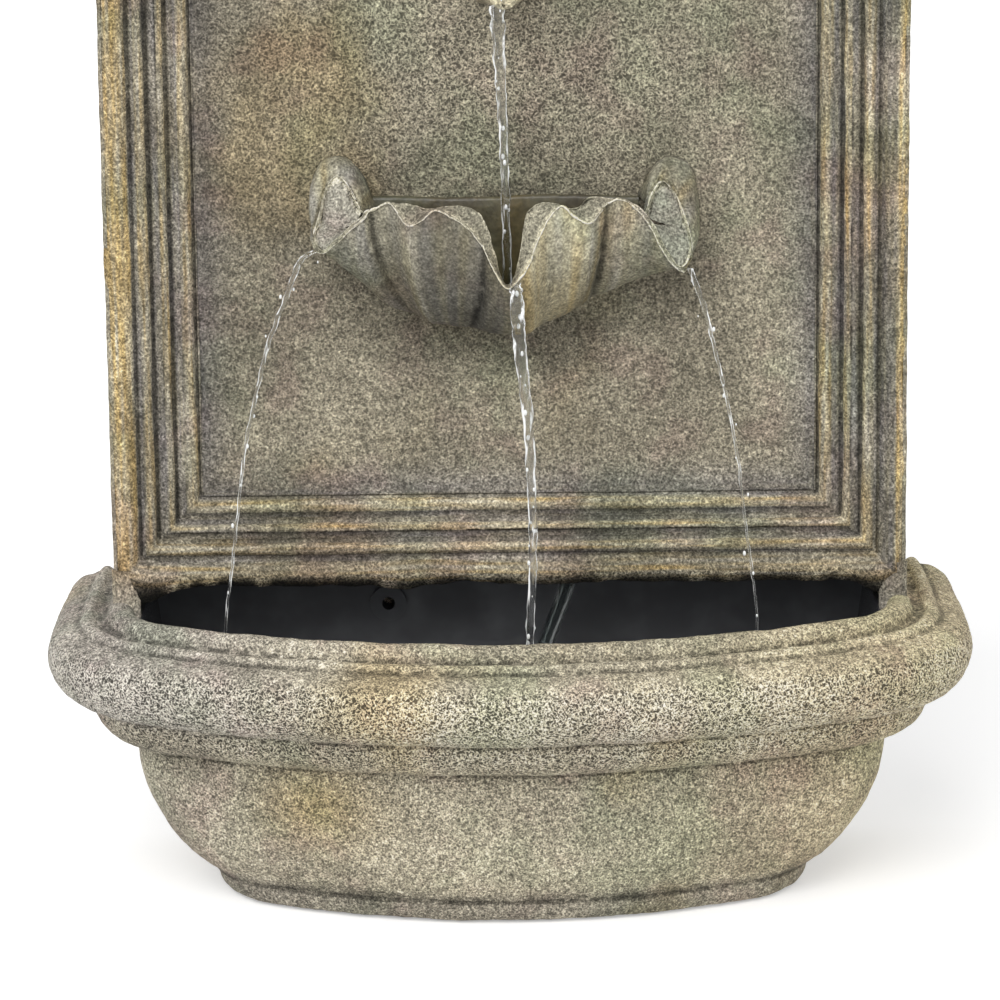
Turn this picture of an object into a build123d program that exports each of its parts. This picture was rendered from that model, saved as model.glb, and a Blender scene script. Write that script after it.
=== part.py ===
from build123d import *
from math import asin, atan2, cos, degrees, exp, radians, sin, tan
import os

# Garden wall fountain: an arched resin panel over a half-oval basin, with a scalloped leaf bowl between.
# Millimetres. +Z is up and the front faces -Y. The drawing keeps the wall at y = 0, and each piece is
# moved at the end so that the origin is the centre of the footprint, on the ground.

# ---------------------------------------------------------------- driving sizes
overall_height = 787.0

# Basin rim, seen from above
rim_half_width = 223.5
rim_depth = 200.0            # wall to the front of the big roll
rim_widest = 86.0            # distance of the widest line from the wall
rim_corner = 80.0            # radius of the two front corners
rim_pull_in = 3.0            # how much narrower the rim is at the wall

# Basin rim, in section: distances inward from the outermost line, and heights
roll_mid_z = 121.0
roll_low_radius = 21.3
roll_top = (16.0, 136.5)
bead_top = (20.5, 140.3)
groove_out = (25.0, 137.5)
groove_in = (29.0, 137.5)
lip_top = (37.0, 143.0)
lip_edge = (43.5, 139.5)
lip_skirt = 11.5             # height of the lip's inner face
ovolo_radius = 20.2
ovolo_toe = 2.0              # slope of the rim's underside behind the ovolo
rim_wall = 8.0

run_out = 30.0               # how far a cut or a sweep runs past the stock

# Basin body and foot
body_fullness = 0.77         # lower is rounder at the foot
body_step = 0.6              # body set in from the edge of the ovolo above it
basin_wall = 8.0
floor_thickness = 8.0
foot_half_width = 145.0
foot_depth = 147.0
foot_widest = 76.0
foot_corner = 48.0
foot_pull_in = 20.0
foot_height = 12.0
foot_draw = 6.0              # how far the foot's underside is set in
foot_ring = 16.0             # width of the ring that the fountain stands on
foot_recess = 8.0
recess_draw = 3.0

# Black liner
liner_wall = 2.5
seat_gap = 0.3               # between pieces that lie in one another

# Panel
panel_ledge = 32.5           # how far the panel stands in from the side of the rim
panel_depth = 86.0
panel_sill = 150.5           # lower edge of the moulding over the basin
panel_wall = 6.0
field_depth = 12.0           # field below the crown of the outer roll
cover_rebate = 3.0
cover_thickness = 3.0
cover_inset = 4.6            # leaves room for the screw heads in front of the wall
boss_radius = 7.0
boss_length = 16.0
boss_sink = 1.0              # how far a boss is let into the side wall
boss_heights = (185.0, 420.0)
boss_angles = (12, 90, 168)  # round the arch

# Panel moulding, outermost first: (width, depth of the crown, depth of the quirk inside it)
mouldings = [(14.2, 0.0, 4.0), (6.6, 2.2, 6.6), (4.4, 5.2, 9.4), (6.9, 7.6, 12.0)]
quirks = [(1.8, 0.5), (4.6, 1.6), (4.5, 1.6), (0.6, 0.0)]    # (width, rise of the floor to the next roll)
moulding_root = 2.0          # how deep the moulding is let into the field

# Leaf bowl
bowl_bottom_z = 278.0
bowl_peak_z = 346.0
bowl_half_width = 92.0
bowl_reach = 64.0            # from the panel's field to the front lip
bowl_base_half_width = 26.0
bowl_base_reach = 14.0
bowl_wall = 5.0
bowl_floor = 7.0
bowl_squareness = 0.8        # under 1 is fuller than an ellipse in plan
bowl_swell = 3.2             # how soon the sides stand upright
flute_angles = (15.0, 35.0, 57.0)
flute_width = 7.5
flute_depth = 0.12
notch_z = 311.5              # bottom of the front notch
notch_half_width = 18.0
valley_depth = 8.5
valley_half_width = 9.0
valley_angle = 40.0          # from the front
tip_z = 315.0
tip_half_opening = 24.0
tip_angle = 70.0

# Ears, from the field to the tip: (distance from the field, x, z, half width, half height)
ears = [(0.0, 76.0, 333.0, 17.0, 25.0), (13.0, 80.0, 333.0, 14.0, 23.0),
        (26.0, 85.0, 326.0, 9.5, 14.5), (38.0, 89.0, 317.5, 3.5, 5.0)]
ear_wall = 5.0

# Rosette and spout
rosette_rise = 82.0          # from the spout to the rosette's centre
rosette_radius = 58.0
rosette_plate = 4.0
plate_inset = 8.0
low_petal_rise = 5.5
petal_count = 8
petal_rise = 9.0
button_radius = 13.0
spout_z = 446.0
spout_drop = 9.0             # of the tip below the bore
spout_reach = 31.0           # from the field to the tip
spout_half_width = 22.0
spout_half_height = 20.0
spout_lift = 4.0             # of the root above the bore
spout_levels = ((0.0, 1.0, 1.0), (0.45, 0.72, 0.7), (0.8, 0.42, 0.36), (1.0, 0.24, 0.16))
channel_drop = 1.5
tip_half_width = 5.0

# Tubing
tube_outer = 4.0
tube_bore = 2.8
barb_radius = 2.7
barb_bore = 1.9
barb_length = 14.0
clamp_thickness = 1.2
clamp_width = 5.0
clamp_ear = 5.0
clamp_slit = 1.2
clamp_on_nozzle = 9.0        # from the nozzle's shoulder
clamp_on_elbow = 7.0         # from the elbow's shoulder
clip_side = 4.0
clip_width = 5.0
elbow_radius = 9.0
elbow_outer = 4.6
elbow_straight = 3.0
barb_pitch = 3.5
fit_gap = 0.2                # radial gap of a pipe in its hole

# Fasteners
screw_radius = 1.6
screw_head_radius = 3.2
screw_head_height = 1.9
screw_length = 11.0
drive_reach = 2.0
drive_slot = 0.4
drive_depth = 0.9
pilot_gap = 0.1
hole_gap = 0.4

# Wall hanger
hanger_drop = 127.0          # from the top of the panel
strap_corner = 8.0
hanger_length = 270.0
hanger_height = 38.0
hanger_thickness = 1.8
hanger_screws_x = [42.0, 118.0]
keyhole_x = 80.0
keyhole_radius = 6.0
keyhole_slot = 3.5
keyhole_rise = 12.0
keyhole_clear = 2.0          # gap round the keyholes in the cover behind

# Access door in the rear cover
door_z = 232.0
door_width = 150.0
door_height = 130.0
door_thickness = 2.2
door_lap = 12.0
door_corner = 8.0
opening_corner = 10.0

# Cable grommet in the basin's back wall
grommet_x = -60.0
grommet_z = 122.0
grommet_radius = 6.0
grommet_bore = 3.2
grommet_flange = 9.0
flange_thickness = 2.0

# Pump: x is across, z is the height of the shaft, and the front face of its housing is at -pump_front
pump_x = 2.5
pump_front = 52.0
pump_width = 50.0
pump_height = 44.0
pump_length = 36.0
pump_corner = 6.0
pump_rounding = 2.0
spigot_length = 3.0
pocket = (40.0, 34.0, 3.0)   # width, height and corner of the stator's pocket
motor_front = 5.0            # thickness of the housing in front of the pocket
core = (36.0, 30.0, 1.0)
core_length = 14.0
core_gap = 0.2               # between the core and the rotor's well
coil = (7.5, 22.0, 11.7, 2.5)  # width, height, length and corner
potting_thickness = 2.5
gland_radius = 3.5
gland_bore = 2.2
gland_length = 5.5
gland_drop = 9.0             # below the shaft
cup_height = 5.0
cup_radius = 7.5
cup_spread_x = 16.0
cup_spread_y = (8.0, 28.0)
cup_stem = 2.6
cup_stem_length = 1.7
cup_lip = 0.9
shaft_radius = 1.5
shaft_gap = 0.05
well_radius = 9.3
well_depth = 26.0
well_wall = 1.3
rotor_radius = 8.7
rotor_length = 20.5
chamber_radius = 14.0
chamber_depth = 8.0
volute_radius = 18.5
volute_front = 2.6
eye_radius = 6.5
hub_radius = 3.4
bush_radius = 2.6
blade_count = 4
blade_radius = 11.5
blade_height = 5.8
blade_thickness = 1.4
outlet_x = 9.5
outlet_radius = 5.0
outlet_top = 24.0
collar = 2.0
seal_offset = 2.2            # from the chamber's wall to the seal's middle
seal_thickness = 1.0
seal_squeeze = 0.08
arm_count = 3
arm_width = 1.6
skirt_wall = 2.2
skirt_gap = 0.3
strainer_length = 26.0
strainer_front = 2.5
strainer_rounding = 1.6
foam_gap = 0.3
slot_width = 2.6
slot_height = 30.0
slot_pitch = 5.2
dial_radius = 10.0
dial_thickness = 2.6
dial_axle = 2.4
dial_gap = 0.3
dial_head = (3.8, 1.9)       # radius and thickness of the retaining head
dial_ring = 1.6              # rim left round the windows
window_angle = 70.0          # in the front wall
dial_window_angle = 62.0
dial_grip = (15.0, 3.0, 4.0)

# ---------------------------------------------------------------- sizes that follow
field_y = -(panel_depth - field_depth)
panel_half_width = rim_half_width - panel_ledge
spring_z = overall_height - panel_half_width
hanger_z = overall_height - hanger_drop
rosette_z = spout_z + rosette_rise
spout_tip_z = spout_z - spout_drop
seat_z = groove_in[1]
floor_top = foot_recess + floor_thickness
liner_floor = floor_top + seat_gap + liner_wall
ovolo_low = (roll_low_radius + ovolo_radius - 0.3, roll_mid_z - roll_low_radius - ovolo_radius)
body_top = ovolo_low[1]
body_joint = body_top + 2 * body_step
body_levels = (0.0, 0.1, 0.25, 0.45, 0.7, 1.0)
cover_y = -cover_inset
ledge_y = cover_y - cover_thickness
pump_z = liner_floor + fit_gap + cup_height + pump_height / 2
pump = Pos(pump_x, -pump_front, pump_z) * Rot(90, 0, 0)   # its z runs forward along the shaft
nozzle_x = pump_x + outlet_x
outlet_level = chamber_depth / 2 + 1.5
nozzle_y = -(pump_front + outlet_level)
nozzle_z = pump_z + outlet_top


def export(name, *shapes):
    """Writes one named piece, moved so that the origin is the centre of the footprint."""
    solids = [solid for shape in shapes for solid in shape.solids()]
    moved = [Pos(0, rim_depth / 2, 0) * solid for solid in solids]
    shape = moved[0] if len(moved) == 1 else Compound(children=moved)
    shape.label = name
    export_step(shape, f"parts/{name}.step")


def block(x0, x1, y0, y1, z0, z1):
    """Box between two corners."""
    return Pos((x0 + x1) / 2, (y0 + y1) / 2, (z0 + z1) / 2) * Box(x1 - x0, y1 - y0, z1 - z0)


def rod(radius, z0, z1, x=0.0, y=0.0):
    """Upright cylinder from z0 to z1."""
    return Pos(x, y, (z0 + z1) / 2) * Cylinder(radius, z1 - z0)


def rod_y(radius, y0, y1, x, z):
    """Cylinder along Y from y0 to y1."""
    return Pos(x, (y0 + y1) / 2, z) * Rot(90, 0, 0) * Cylinder(radius, y1 - y0)


# ---------------------------------------------------------------- basin
class Oval:
    """Half-oval plan against the wall: front arc, corner arcs and side arcs, each tangent to the next."""

    def __init__(self, half_width, depth, widest, corner, pull_in):
        self.sizes = (half_width, depth, widest, corner, pull_in)
        run = depth - widest
        nose = ((half_width - corner) ** 2 + run ** 2 - corner ** 2) / (2 * (run - corner))
        side = (pull_in ** 2 + widest ** 2) / (2 * pull_in)
        turn = degrees(atan2(run - nose, half_width - corner))
        self.pieces = [
            (0.0, nose - depth, nose, -90.0, turn + 90.0),
            (half_width - corner, -widest, corner, turn, -turn),
        ]
        self.side = (half_width - side, -widest, side)

    def arcs(self, inset, back, hand=1):
        """Arcs of one side, inset by a distance, from the front centre to the line y = back."""
        x, y, radius = self.side
        rise = degrees(asin((back - y) / (radius - inset)))
        rows = self.pieces + [(x, y, radius, 0.0, rise)]
        return [
            CenterArc((hand * cx, cy), r - inset, start if hand > 0 else 180 - start, hand * size)
            for cx, cy, r, start, size in rows
        ]

    def face(self, z, inset=0.0, back=0.0):
        """Closed plan at height z."""
        right = self.arcs(inset, back)
        left = self.arcs(inset, back, hand=-1)
        closing = Line(right[-1] @ 1, left[-1] @ 1)
        return Pos(0, 0, z) * make_face(right + [closing] + left)

    def inset(self, amount):
        """The same plan, set in all round."""
        half_width, depth, widest, corner, pull_in = self.sizes
        return Oval(half_width - amount, depth - amount, widest, corner - amount, pull_in)


rim = Oval(rim_half_width, rim_depth, rim_widest, rim_corner, rim_pull_in)
foot = Oval(foot_half_width, foot_depth, foot_widest, foot_corner, foot_pull_in)


def body_plan(z):
    """Plan of the body at height z: it draws in from the rim to the foot along a full curve."""
    share = min(1.0, max(0.0, (body_top - z) / (body_top - foot_height)))
    pull = 1 - (1 - share ** 2) ** body_fullness
    top = rim.inset(ovolo_low[0] + body_step).sizes
    return Oval(*[a + (b - a) * pull for a, b in zip(top, foot.sizes)])


def body_loft(lowest, inset, back):
    """Solid of the body from a height up into the ovolo, set in by a wall."""
    heights = [lowest + share * (body_joint - lowest) for share in body_levels]
    return loft([body_plan(z).face(z, inset, back) for z in heights])


def rim_point(inward, z):
    """Point of the rim's section, at the front centre."""
    return Vector(0, inward - rim_depth, z)


def rim_section():
    """Outline of the rim: ovolo, big roll, bead, groove and inner lip."""
    r = roll_low_radius
    mid, low = rim_point(0, roll_mid_z), rim_point(r - 0.3, roll_mid_z - r + 0.02)
    toe = rim_point(ovolo_low[0] + basin_wall, body_top + ovolo_toe)
    turn = ovolo_radius * sin(radians(45))
    edges = [
        ThreePointArc(
            rim_point(*ovolo_low),
            rim_point(ovolo_low[0] - turn, ovolo_low[1] + ovolo_radius - turn),
            low,
        ),
        ThreePointArc(low, rim_point(r - r * cos(radians(45)), roll_mid_z - r * sin(radians(45))), mid),
        ThreePointArc(mid, rim_point(roll_top[0] * 0.3, roll_mid_z + (roll_top[1] - roll_mid_z) * 0.72),
                      rim_point(*roll_top)),
        ThreePointArc(rim_point(*roll_top), rim_point(*bead_top), rim_point(*groove_out)),
        Line(rim_point(*groove_out), rim_point(*groove_in)),
        ThreePointArc(rim_point(*groove_in), rim_point(*lip_top), rim_point(*lip_edge)),
        Line(rim_point(*lip_edge), rim_point(lip_edge[0], lip_edge[1] - lip_skirt)),
        Line(rim_point(lip_edge[0], lip_edge[1] - lip_skirt), toe),
        Line(toe, rim_point(*ovolo_low)),
    ]
    return make_face(edges)


def hollow_section():
    """Inside of the hollow roll, open towards the basin."""
    low_z = body_top + 2 * ovolo_toe
    points = [
        (lip_edge[0] + 8, lip_edge[1] - lip_skirt),
        (groove_in[0] + 5, groove_in[1] - rim_wall),
        (roll_top[0] - 2, roll_top[1] - rim_wall),
        (rim_wall, roll_mid_z),
        (rim_wall + 4.5, roll_mid_z - 11.0),
        (roll_low_radius + rim_wall, roll_mid_z - roll_low_radius + 3.5),
        (ovolo_low[0] - 4, body_top + 11.0),
        (ovolo_low[0] + basin_wall - 0.8, low_z),
        (lip_edge[0] + 16, low_z),
    ]
    return make_face(Polyline([rim_point(*p) for p in points], close=True))


def round_the_rim(section, back):
    """Sweeps a section from the front centre to y = back on both sides."""
    half = sweep(section, path=Wire(rim.arcs(0.0, back)))
    return half + mirror(half, about=Plane.YZ)


def make_basin():
    """Resin casting: rim, bowl-shaped body, flat back wall and foot."""
    back_half = rim_half_width - lip_edge[0] - 2.0
    shell = round_the_rim(rim_section(), rim_wall) + body_loft(foot_height, 0.0, 0.0)
    shell += loft([foot.face(foot_height), foot.inset(foot_draw).face(0)])
    shell += block(-back_half, back_half, -basin_wall, 0, body_top - basin_wall, seat_z)
    shell -= round_the_rim(hollow_section(), -basin_wall)
    shell -= body_loft(floor_top, basin_wall, -basin_wall)
    shell -= extrude(rim.face(body_top - 3.0, lip_edge[0] + 6.6, -basin_wall), run_out)
    recess = foot.inset(foot_draw + foot_ring)
    ceiling = recess.face(foot_recess, recess_draw, -foot_ring - recess_draw)
    shell -= loft([recess.face(-1, 0, -foot_ring), ceiling])
    shell -= block(-rim_half_width, rim_half_width, 0, 3 * rim_wall, -1, 2 * seat_z)
    seat_half = rim_half_width - groove_in[0] + 0.3
    shell -= block(-seat_half, seat_half, -panel_depth - seat_gap, 1, seat_z, 2 * seat_z)
    shell -= rod_y(grommet_radius + fit_gap, -basin_wall - 1, 1, grommet_x, grommet_z)
    return shell


def make_liner():
    """Black waterproof liner, hung inside the casting."""
    back = -(basin_wall + seat_gap)
    top = seat_z - seat_gap

    def filled(extra, low, high):
        wall = basin_wall + seat_gap + extra
        heights = [low + share * (body_joint - low) for share in body_levels]
        plans = [body_plan(z).face(z, wall, back - extra) for z in heights]
        for z in (lip_edge[1] - lip_skirt, high):
            plans.append(rim.face(z, lip_edge[0] + seat_gap + extra, back - extra))
        return loft(plans, ruled=True)

    liner = filled(0.0, floor_top + seat_gap, top) - filled(liner_wall, liner_floor, top + 5)
    return liner - rod_y(grommet_radius + fit_gap, back - 2 * liner_wall, 0, grommet_x, grommet_z)


# ---------------------------------------------------------------- panel
def arch(inset, low_z, y):
    """Arched outline, set in all round, as a face in the plane of y."""
    half = panel_half_width - inset
    places = ((-half, spring_z), (-half, low_z), (half, low_z), (half, spring_z))
    corners = [Vector(x, y, z) for x, z in places]
    crown = ThreePointArc(corners[3], Vector(0, y, spring_z + half), corners[0])
    return make_face([Line(a, b) for a, b in zip(corners, corners[1:])] + [crown])


def arch_solid(inset, low_z, y0, y1):
    """Arched block between two planes of y."""
    return extrude(arch(inset, low_z, y0), y1 - y0, dir=(0, 1, 0))


def moulding_edges(place):
    """Section of the moulding, as edges between points given by place(inward, depth)."""
    root = field_depth + moulding_root
    edge_depth = mouldings[0][2]
    edges = [Line(place(0, root), place(0, edge_depth))]
    inward, start = 0.0, place(0, edge_depth)
    for (width, crown, quirk), (gap, rise) in zip(mouldings, quirks):
        end = place(inward + width, quirk)
        edges.append(ThreePointArc(start, place(inward + width * 0.5, crown), end))
        inward += width + gap
        following = place(inward, quirk - rise)
        edges.append(Line(end, following))
        start = following
    edges.append(Line(start, place(inward, root)))
    edges.append(Line(place(inward, root), place(0, root)))
    return edges


def make_mouldings():
    """Concentric mouldings: one half of the sides, arch and mitred bottom rail, and its mirror image."""
    low = panel_sill - run_out
    side = make_face(moulding_edges(lambda b, d: Vector(panel_half_width - b, d - panel_depth, low)))
    turn = panel_half_width * cos(radians(45))
    right = Vector(panel_half_width, -panel_depth, low)
    spring = Vector(panel_half_width, -panel_depth, spring_z)
    crown = Vector(0, -panel_depth, spring_z + panel_half_width)
    rise = ThreePointArc(spring, Vector(turn, -panel_depth, spring_z + turn), crown)
    upright = sweep(side, path=Wire([Line(right, spring), rise]))
    rail_end = make_face(moulding_edges(lambda b, d: Vector(0, d - panel_depth, panel_sill + b)))
    rail = extrude(rail_end, panel_half_width, dir=(1, 0, 0))
    mitre = Plane(origin=(panel_half_width, 0, panel_sill), z_dir=(1, 0, 1))
    half = split(upright, bisect_by=mitre, keep=Keep.TOP) + split(rail, bisect_by=mitre, keep=Keep.BOTTOM)
    return half + mirror(half, about=Plane.YZ)


def boss_places():
    """Centres of the cover's screws: two on each side and three round the arch."""
    reach = panel_half_width - panel_wall - boss_radius + boss_sink
    sides = [(hand * reach, z) for hand in (-1, 1) for z in boss_heights]
    return sides + [(reach * cos(radians(a)), spring_z + reach * sin(radians(a))) for a in boss_angles]


def hanger_places():
    """Centres of the hanger's four screws."""
    return [(hand * x, hanger_z) for hand in (-1, 1) for x in hanger_screws_x]


def make_panel():
    """Hollow resin panel, open at the back and over the basin."""
    leg_width, _, leg_depth = mouldings[0]
    edge_y = leg_depth - panel_depth
    leg_in = panel_half_width - leg_width
    cavity_y = field_y + panel_wall
    shell = arch_solid(0, seat_z, field_y, 0) + make_mouldings()
    leg = make_face([
        ThreePointArc(Vector(panel_half_width, edge_y, seat_z),
                      Vector(panel_half_width - leg_width / 2, -panel_depth, seat_z),
                      Vector(leg_in, edge_y, seat_z)),
        Polyline([(leg_in, edge_y, seat_z), (leg_in, field_y + 1, seat_z),
                  (panel_half_width, field_y + 1, seat_z), (panel_half_width, edge_y, seat_z)]),
    ])
    leg = extrude(leg, panel_sill + leg_width - seat_z, dir=(0, 0, 1))
    shell += leg + mirror(leg, about=Plane.YZ)
    shell -= arch_solid(panel_wall, seat_z - 5, cavity_y, 1)
    shell -= arch_solid(cover_rebate, seat_z - 5, ledge_y, 1)
    shell -= block(-leg_in, leg_in, -panel_depth, cavity_y + 1, seat_z - 5, panel_sill)
    for x, z in boss_places():
        shell += rod_y(boss_radius, ledge_y - boss_length, ledge_y, x, z)
        shell -= rod_y(screw_radius + pilot_gap, cover_y - screw_length - 1, ledge_y, x, z)
    for x, z in hanger_places():
        shell += rod_y(boss_radius, cavity_y - 1, ledge_y, x, z)
        shell -= rod_y(screw_radius + pilot_gap, cover_y - screw_length - 1, ledge_y, x, z)
    return shell - rod_y(elbow_outer + fit_gap, field_y - 1, cavity_y + 1, 0, spout_z)


def screws(places, head_y):
    """Pan-head screws driven forward, heads on the plane head_y."""
    made = []
    for x, z in places:
        head = rod_y(screw_head_radius, head_y, head_y + screw_head_height, x, z)
        low = head_y + screw_head_height - drive_depth
        high = low + 2 * drive_depth
        drive = block(x - drive_reach, x + drive_reach, low, high, z - drive_slot, z + drive_slot)
        drive += block(x - drive_slot, x + drive_slot, low, high, z - drive_reach, z + drive_reach)
        made.append(head + rod_y(screw_radius, head_y - screw_length, head_y, x, z) - drive)
    return made


def door_places():
    """Centres of the door's four screws."""
    half_x = door_width / 2 - door_lap / 2
    half_z = door_height / 2 - door_lap / 2
    return [(i * half_x, door_z + k * half_z) for i in (-1, 1) for k in (-1, 1)]


def keyhole(extra=0.0):
    """Round entry with a narrower slot above it, both through a thickness in Y."""
    made = []
    for x in (-keyhole_x, keyhole_x):
        slot = keyhole_slot + extra
        entry_z, top_z = hanger_z - keyhole_rise / 2, hanger_z + keyhole_rise / 2
        hole = rod_y(keyhole_radius + extra, -run_out, 1, x, entry_z)
        hole += block(x - slot, x + slot, -run_out, 1, entry_z, top_z)
        made.append(hole + rod_y(slot, -run_out, 1, x, top_z))
    return made[0] + made[1]


def make_cover():
    """Rear cover: a flat sheet in the panel's rebate, with the access opening and holes."""
    sheet = arch_solid(cover_rebate + fit_gap, seat_z + seat_gap, ledge_y, cover_y)
    half_x, half_z = door_width / 2 - door_lap, door_height / 2 - door_lap
    opening = block(-half_x, half_x, ledge_y - 1, 0, door_z - half_z, door_z + half_z)
    sheet -= fillet(opening.edges().filter_by(Axis.Y), opening_corner)
    for x, z in boss_places() + hanger_places():
        sheet -= rod_y(screw_radius + hole_gap, ledge_y - 1, 0, x, z)
    for x, z in door_places():
        sheet -= rod_y(screw_radius + pilot_gap, ledge_y - 1, 0, x, z)
    return sheet - keyhole(extra=keyhole_clear)


def make_door():
    """Access door over the opening in the rear cover."""
    plate = block(-door_width / 2, door_width / 2, cover_y, cover_y + door_thickness,
                  door_z - door_height / 2, door_z + door_height / 2)
    plate = fillet(plate.edges().filter_by(Axis.Y), door_corner)
    for x, z in door_places():
        plate -= rod_y(screw_radius + hole_gap, cover_y - 1, 1, x, z)
    return plate


def make_hanger():
    """Steel strap with two keyholes."""
    strap = block(-hanger_length / 2, hanger_length / 2, cover_y, cover_y + hanger_thickness,
                  hanger_z - hanger_height / 2, hanger_z + hanger_height / 2)
    strap = fillet(strap.edges().filter_by(Axis.Y), strap_corner) - keyhole()
    for x, z in hanger_places():
        strap -= rod_y(screw_radius + hole_gap, cover_y - 1, 1, x, z)
    return strap


def make_grommet():
    """Rubber grommet through the liner and the basin's back wall."""
    inner = -(basin_wall + seat_gap + liner_wall) - fit_gap
    ring = rod_y(grommet_radius, inner, -1, grommet_x, grommet_z)
    ring += rod_y(grommet_flange, inner - flange_thickness, inner, grommet_x, grommet_z)
    return ring - rod_y(grommet_bore, inner - 2 * flange_thickness, 1, grommet_x, grommet_z)


# ---------------------------------------------------------------- ornaments
def bowl_section(z, share, inset):
    """Fluted half-oval of the leaf bowl; share runs from 0 at its floor to 1 at its peaks."""
    swell = 1 - (1 - share) ** bowl_swell
    half = bowl_base_half_width + (bowl_half_width - bowl_base_half_width) * swell - inset
    reach = bowl_base_reach + (bowl_reach - bowl_base_reach) * swell - inset
    points = []
    for step in range(33):
        turn = 180.0 * step / 32
        off_front = abs(turn - 90.0)
        flutes = sum(exp(-((off_front - at) / flute_width) ** 2) for at in flute_angles)
        grow = 1 + swell * flute_depth * (flutes - 0.7)
        points.append(Vector(-half * cos(radians(turn)) * grow,
                             field_y - reach * sin(radians(turn)) ** bowl_squareness * grow, z))
    return make_face([Spline(points), Line(points[-1], points[0])])


def bowl_solid(low_z, inset, top_z):
    """Fluted solid of the bowl between two heights."""
    rows = []
    for step in (0.0, 0.06, 0.16, 0.32, 0.55, 0.8, 1.0):
        z = low_z + (top_z - low_z) * step
        share = (z - bowl_bottom_z) / (bowl_peak_z - bowl_bottom_z)
        rows.append(bowl_section(z, min(1.0, max(0.0, share)), inset))
    return loft(rows)


def dip(half_width, low_z, turn):
    """Rounded dip cut outwards through the bowl's rim, at an angle from the front."""
    rise = bowl_peak_z - low_z
    shares = [(-1.0, 0.8), (-0.35, 0.16), (0.0, 0.0), (0.35, 0.16), (1.0, 0.8)]
    curve = [(half_width * across, low_z + rise * up) for across, up in shares]
    reach, over, top = half_width * 1.25, bowl_peak_z + 1, bowl_peak_z + run_out
    outside = [curve[-1], (reach, over), (reach, top), (-reach, top), (-reach, over), curve[0]]
    outline = make_face([Spline(curve), Polyline(outside)])
    cutter = extrude(Plane.XZ * outline, 2 * bowl_half_width)
    return Pos(0, field_y - bowl_wall, 0) * Rot(0, 0, turn) * cutter


def make_ear(hand):
    """Hollow curl of the leaf behind a side tip: a soft horn from the field to the tip, open inwards."""

    def horn(rows):
        outlines = [
            Plane(origin=(hand * x, field_y - away, z), z_dir=(0, -1, 0)) * Ellipse(half_width, half_height)
            for away, x, z, half_width, half_height in rows
        ]
        return loft(outlines)

    hollow = []
    for away, x, z, half_width, half_height in ears:
        height = half_height - min(ear_wall * 0.8, half_height / 4)
        hollow.append((away + 1.5 * ear_wall, x - 1.2 * ear_wall, z - 1, half_width - 1, height))
    return horn(ears) - horn(hollow)


def make_bowl():
    """Scalloped leaf bowl that spills at both side tips and at the front notch."""
    shell = bowl_solid(bowl_bottom_z, 0.0, bowl_peak_z)
    shell -= bowl_solid(bowl_bottom_z + bowl_floor, bowl_wall, bowl_peak_z + 5)
    shell -= dip(notch_half_width, notch_z, 0)
    for hand in (-1, 1):
        shell -= dip(valley_half_width, bowl_peak_z - valley_depth, hand * valley_angle)
        shell -= dip(tip_half_opening, tip_z, hand * tip_angle)
        behind_tip = block(0, bowl_half_width, field_y - ears[2][0], 0, tip_z + 2, 2 * bowl_peak_z)
        shell -= Pos(hand * (ears[0][1] + 15), 0, 0) * behind_tip
        shell += make_ear(hand)
    in_front = block(-panel_half_width, panel_half_width, field_y - panel_depth, field_y, 0, overall_height)
    return shell & in_front


def make_rosette():
    """Round flower with a domed button."""
    front = Plane(origin=(0, field_y, rosette_z), z_dir=(0, -1, 0))
    flower = extrude(Circle(rosette_radius - plate_inset), rosette_plate)
    leaf = Ellipse(rosette_radius * 0.36, rosette_radius * 0.23)
    petal = extrude(Pos(rosette_radius * 0.6, 0, rosette_plate) * leaf, petal_rise - rosette_plate, taper=30)
    low_leaf = Ellipse(rosette_radius * 0.3, rosette_radius * 0.25)
    low_petal = extrude(Pos(rosette_radius * 0.7, 0, 0) * low_leaf, low_petal_rise, taper=20)
    for step in range(petal_count):
        flower += Rot(0, 0, 360 / petal_count * step) * petal
        flower += Rot(0, 0, 360 / petal_count * (step + 0.5)) * low_petal
    dome = Pos(0, 0, rosette_plate - 1) * Rot(90, 0, 0) * Sphere(button_radius)
    flower += dome & rod(button_radius + 1, 1, 2 * button_radius)
    return front * flower


def make_spout():
    """Small leaf tongue below the rosette, with a channel that the water runs down."""
    rows = []
    root_z = spout_z + spout_lift
    for share, half, high in spout_levels:
        z = root_z + (spout_tip_z - root_z) * share ** 1.6
        plane = Plane(origin=(0, field_y - spout_reach * share, z), z_dir=(0, -1, 0))
        rows.append(plane * Ellipse(spout_half_width * half, spout_half_height * high))
    tongue = loft(rows)
    tongue -= rod_y(elbow_outer + fit_gap, field_y - spout_reach * 0.5, field_y + 1, 0, spout_z)
    tongue -= rod_y(tip_half_width * 0.7, field_y - 2 * spout_reach, field_y - spout_reach * 0.45, 0,
                    spout_z - channel_drop)
    return tongue


# ---------------------------------------------------------------- water path
elbow_y = field_y + panel_wall + elbow_radius + elbow_straight
elbow_low = spout_z - elbow_radius - elbow_straight
tube_route = [
    (nozzle_x, nozzle_y, nozzle_z + 2.5),
    (nozzle_x, nozzle_y, 98),
    (20.5, -59.5, 123),
    (30.5, -60.5, 150),
    (35, -61, 190),
    (31, -61.5, 245),
    (17, -61.5, 300),
    (5, -60.5, 350),
    (0, elbow_y, 394),
    (0, elbow_y, elbow_low),
]


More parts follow.
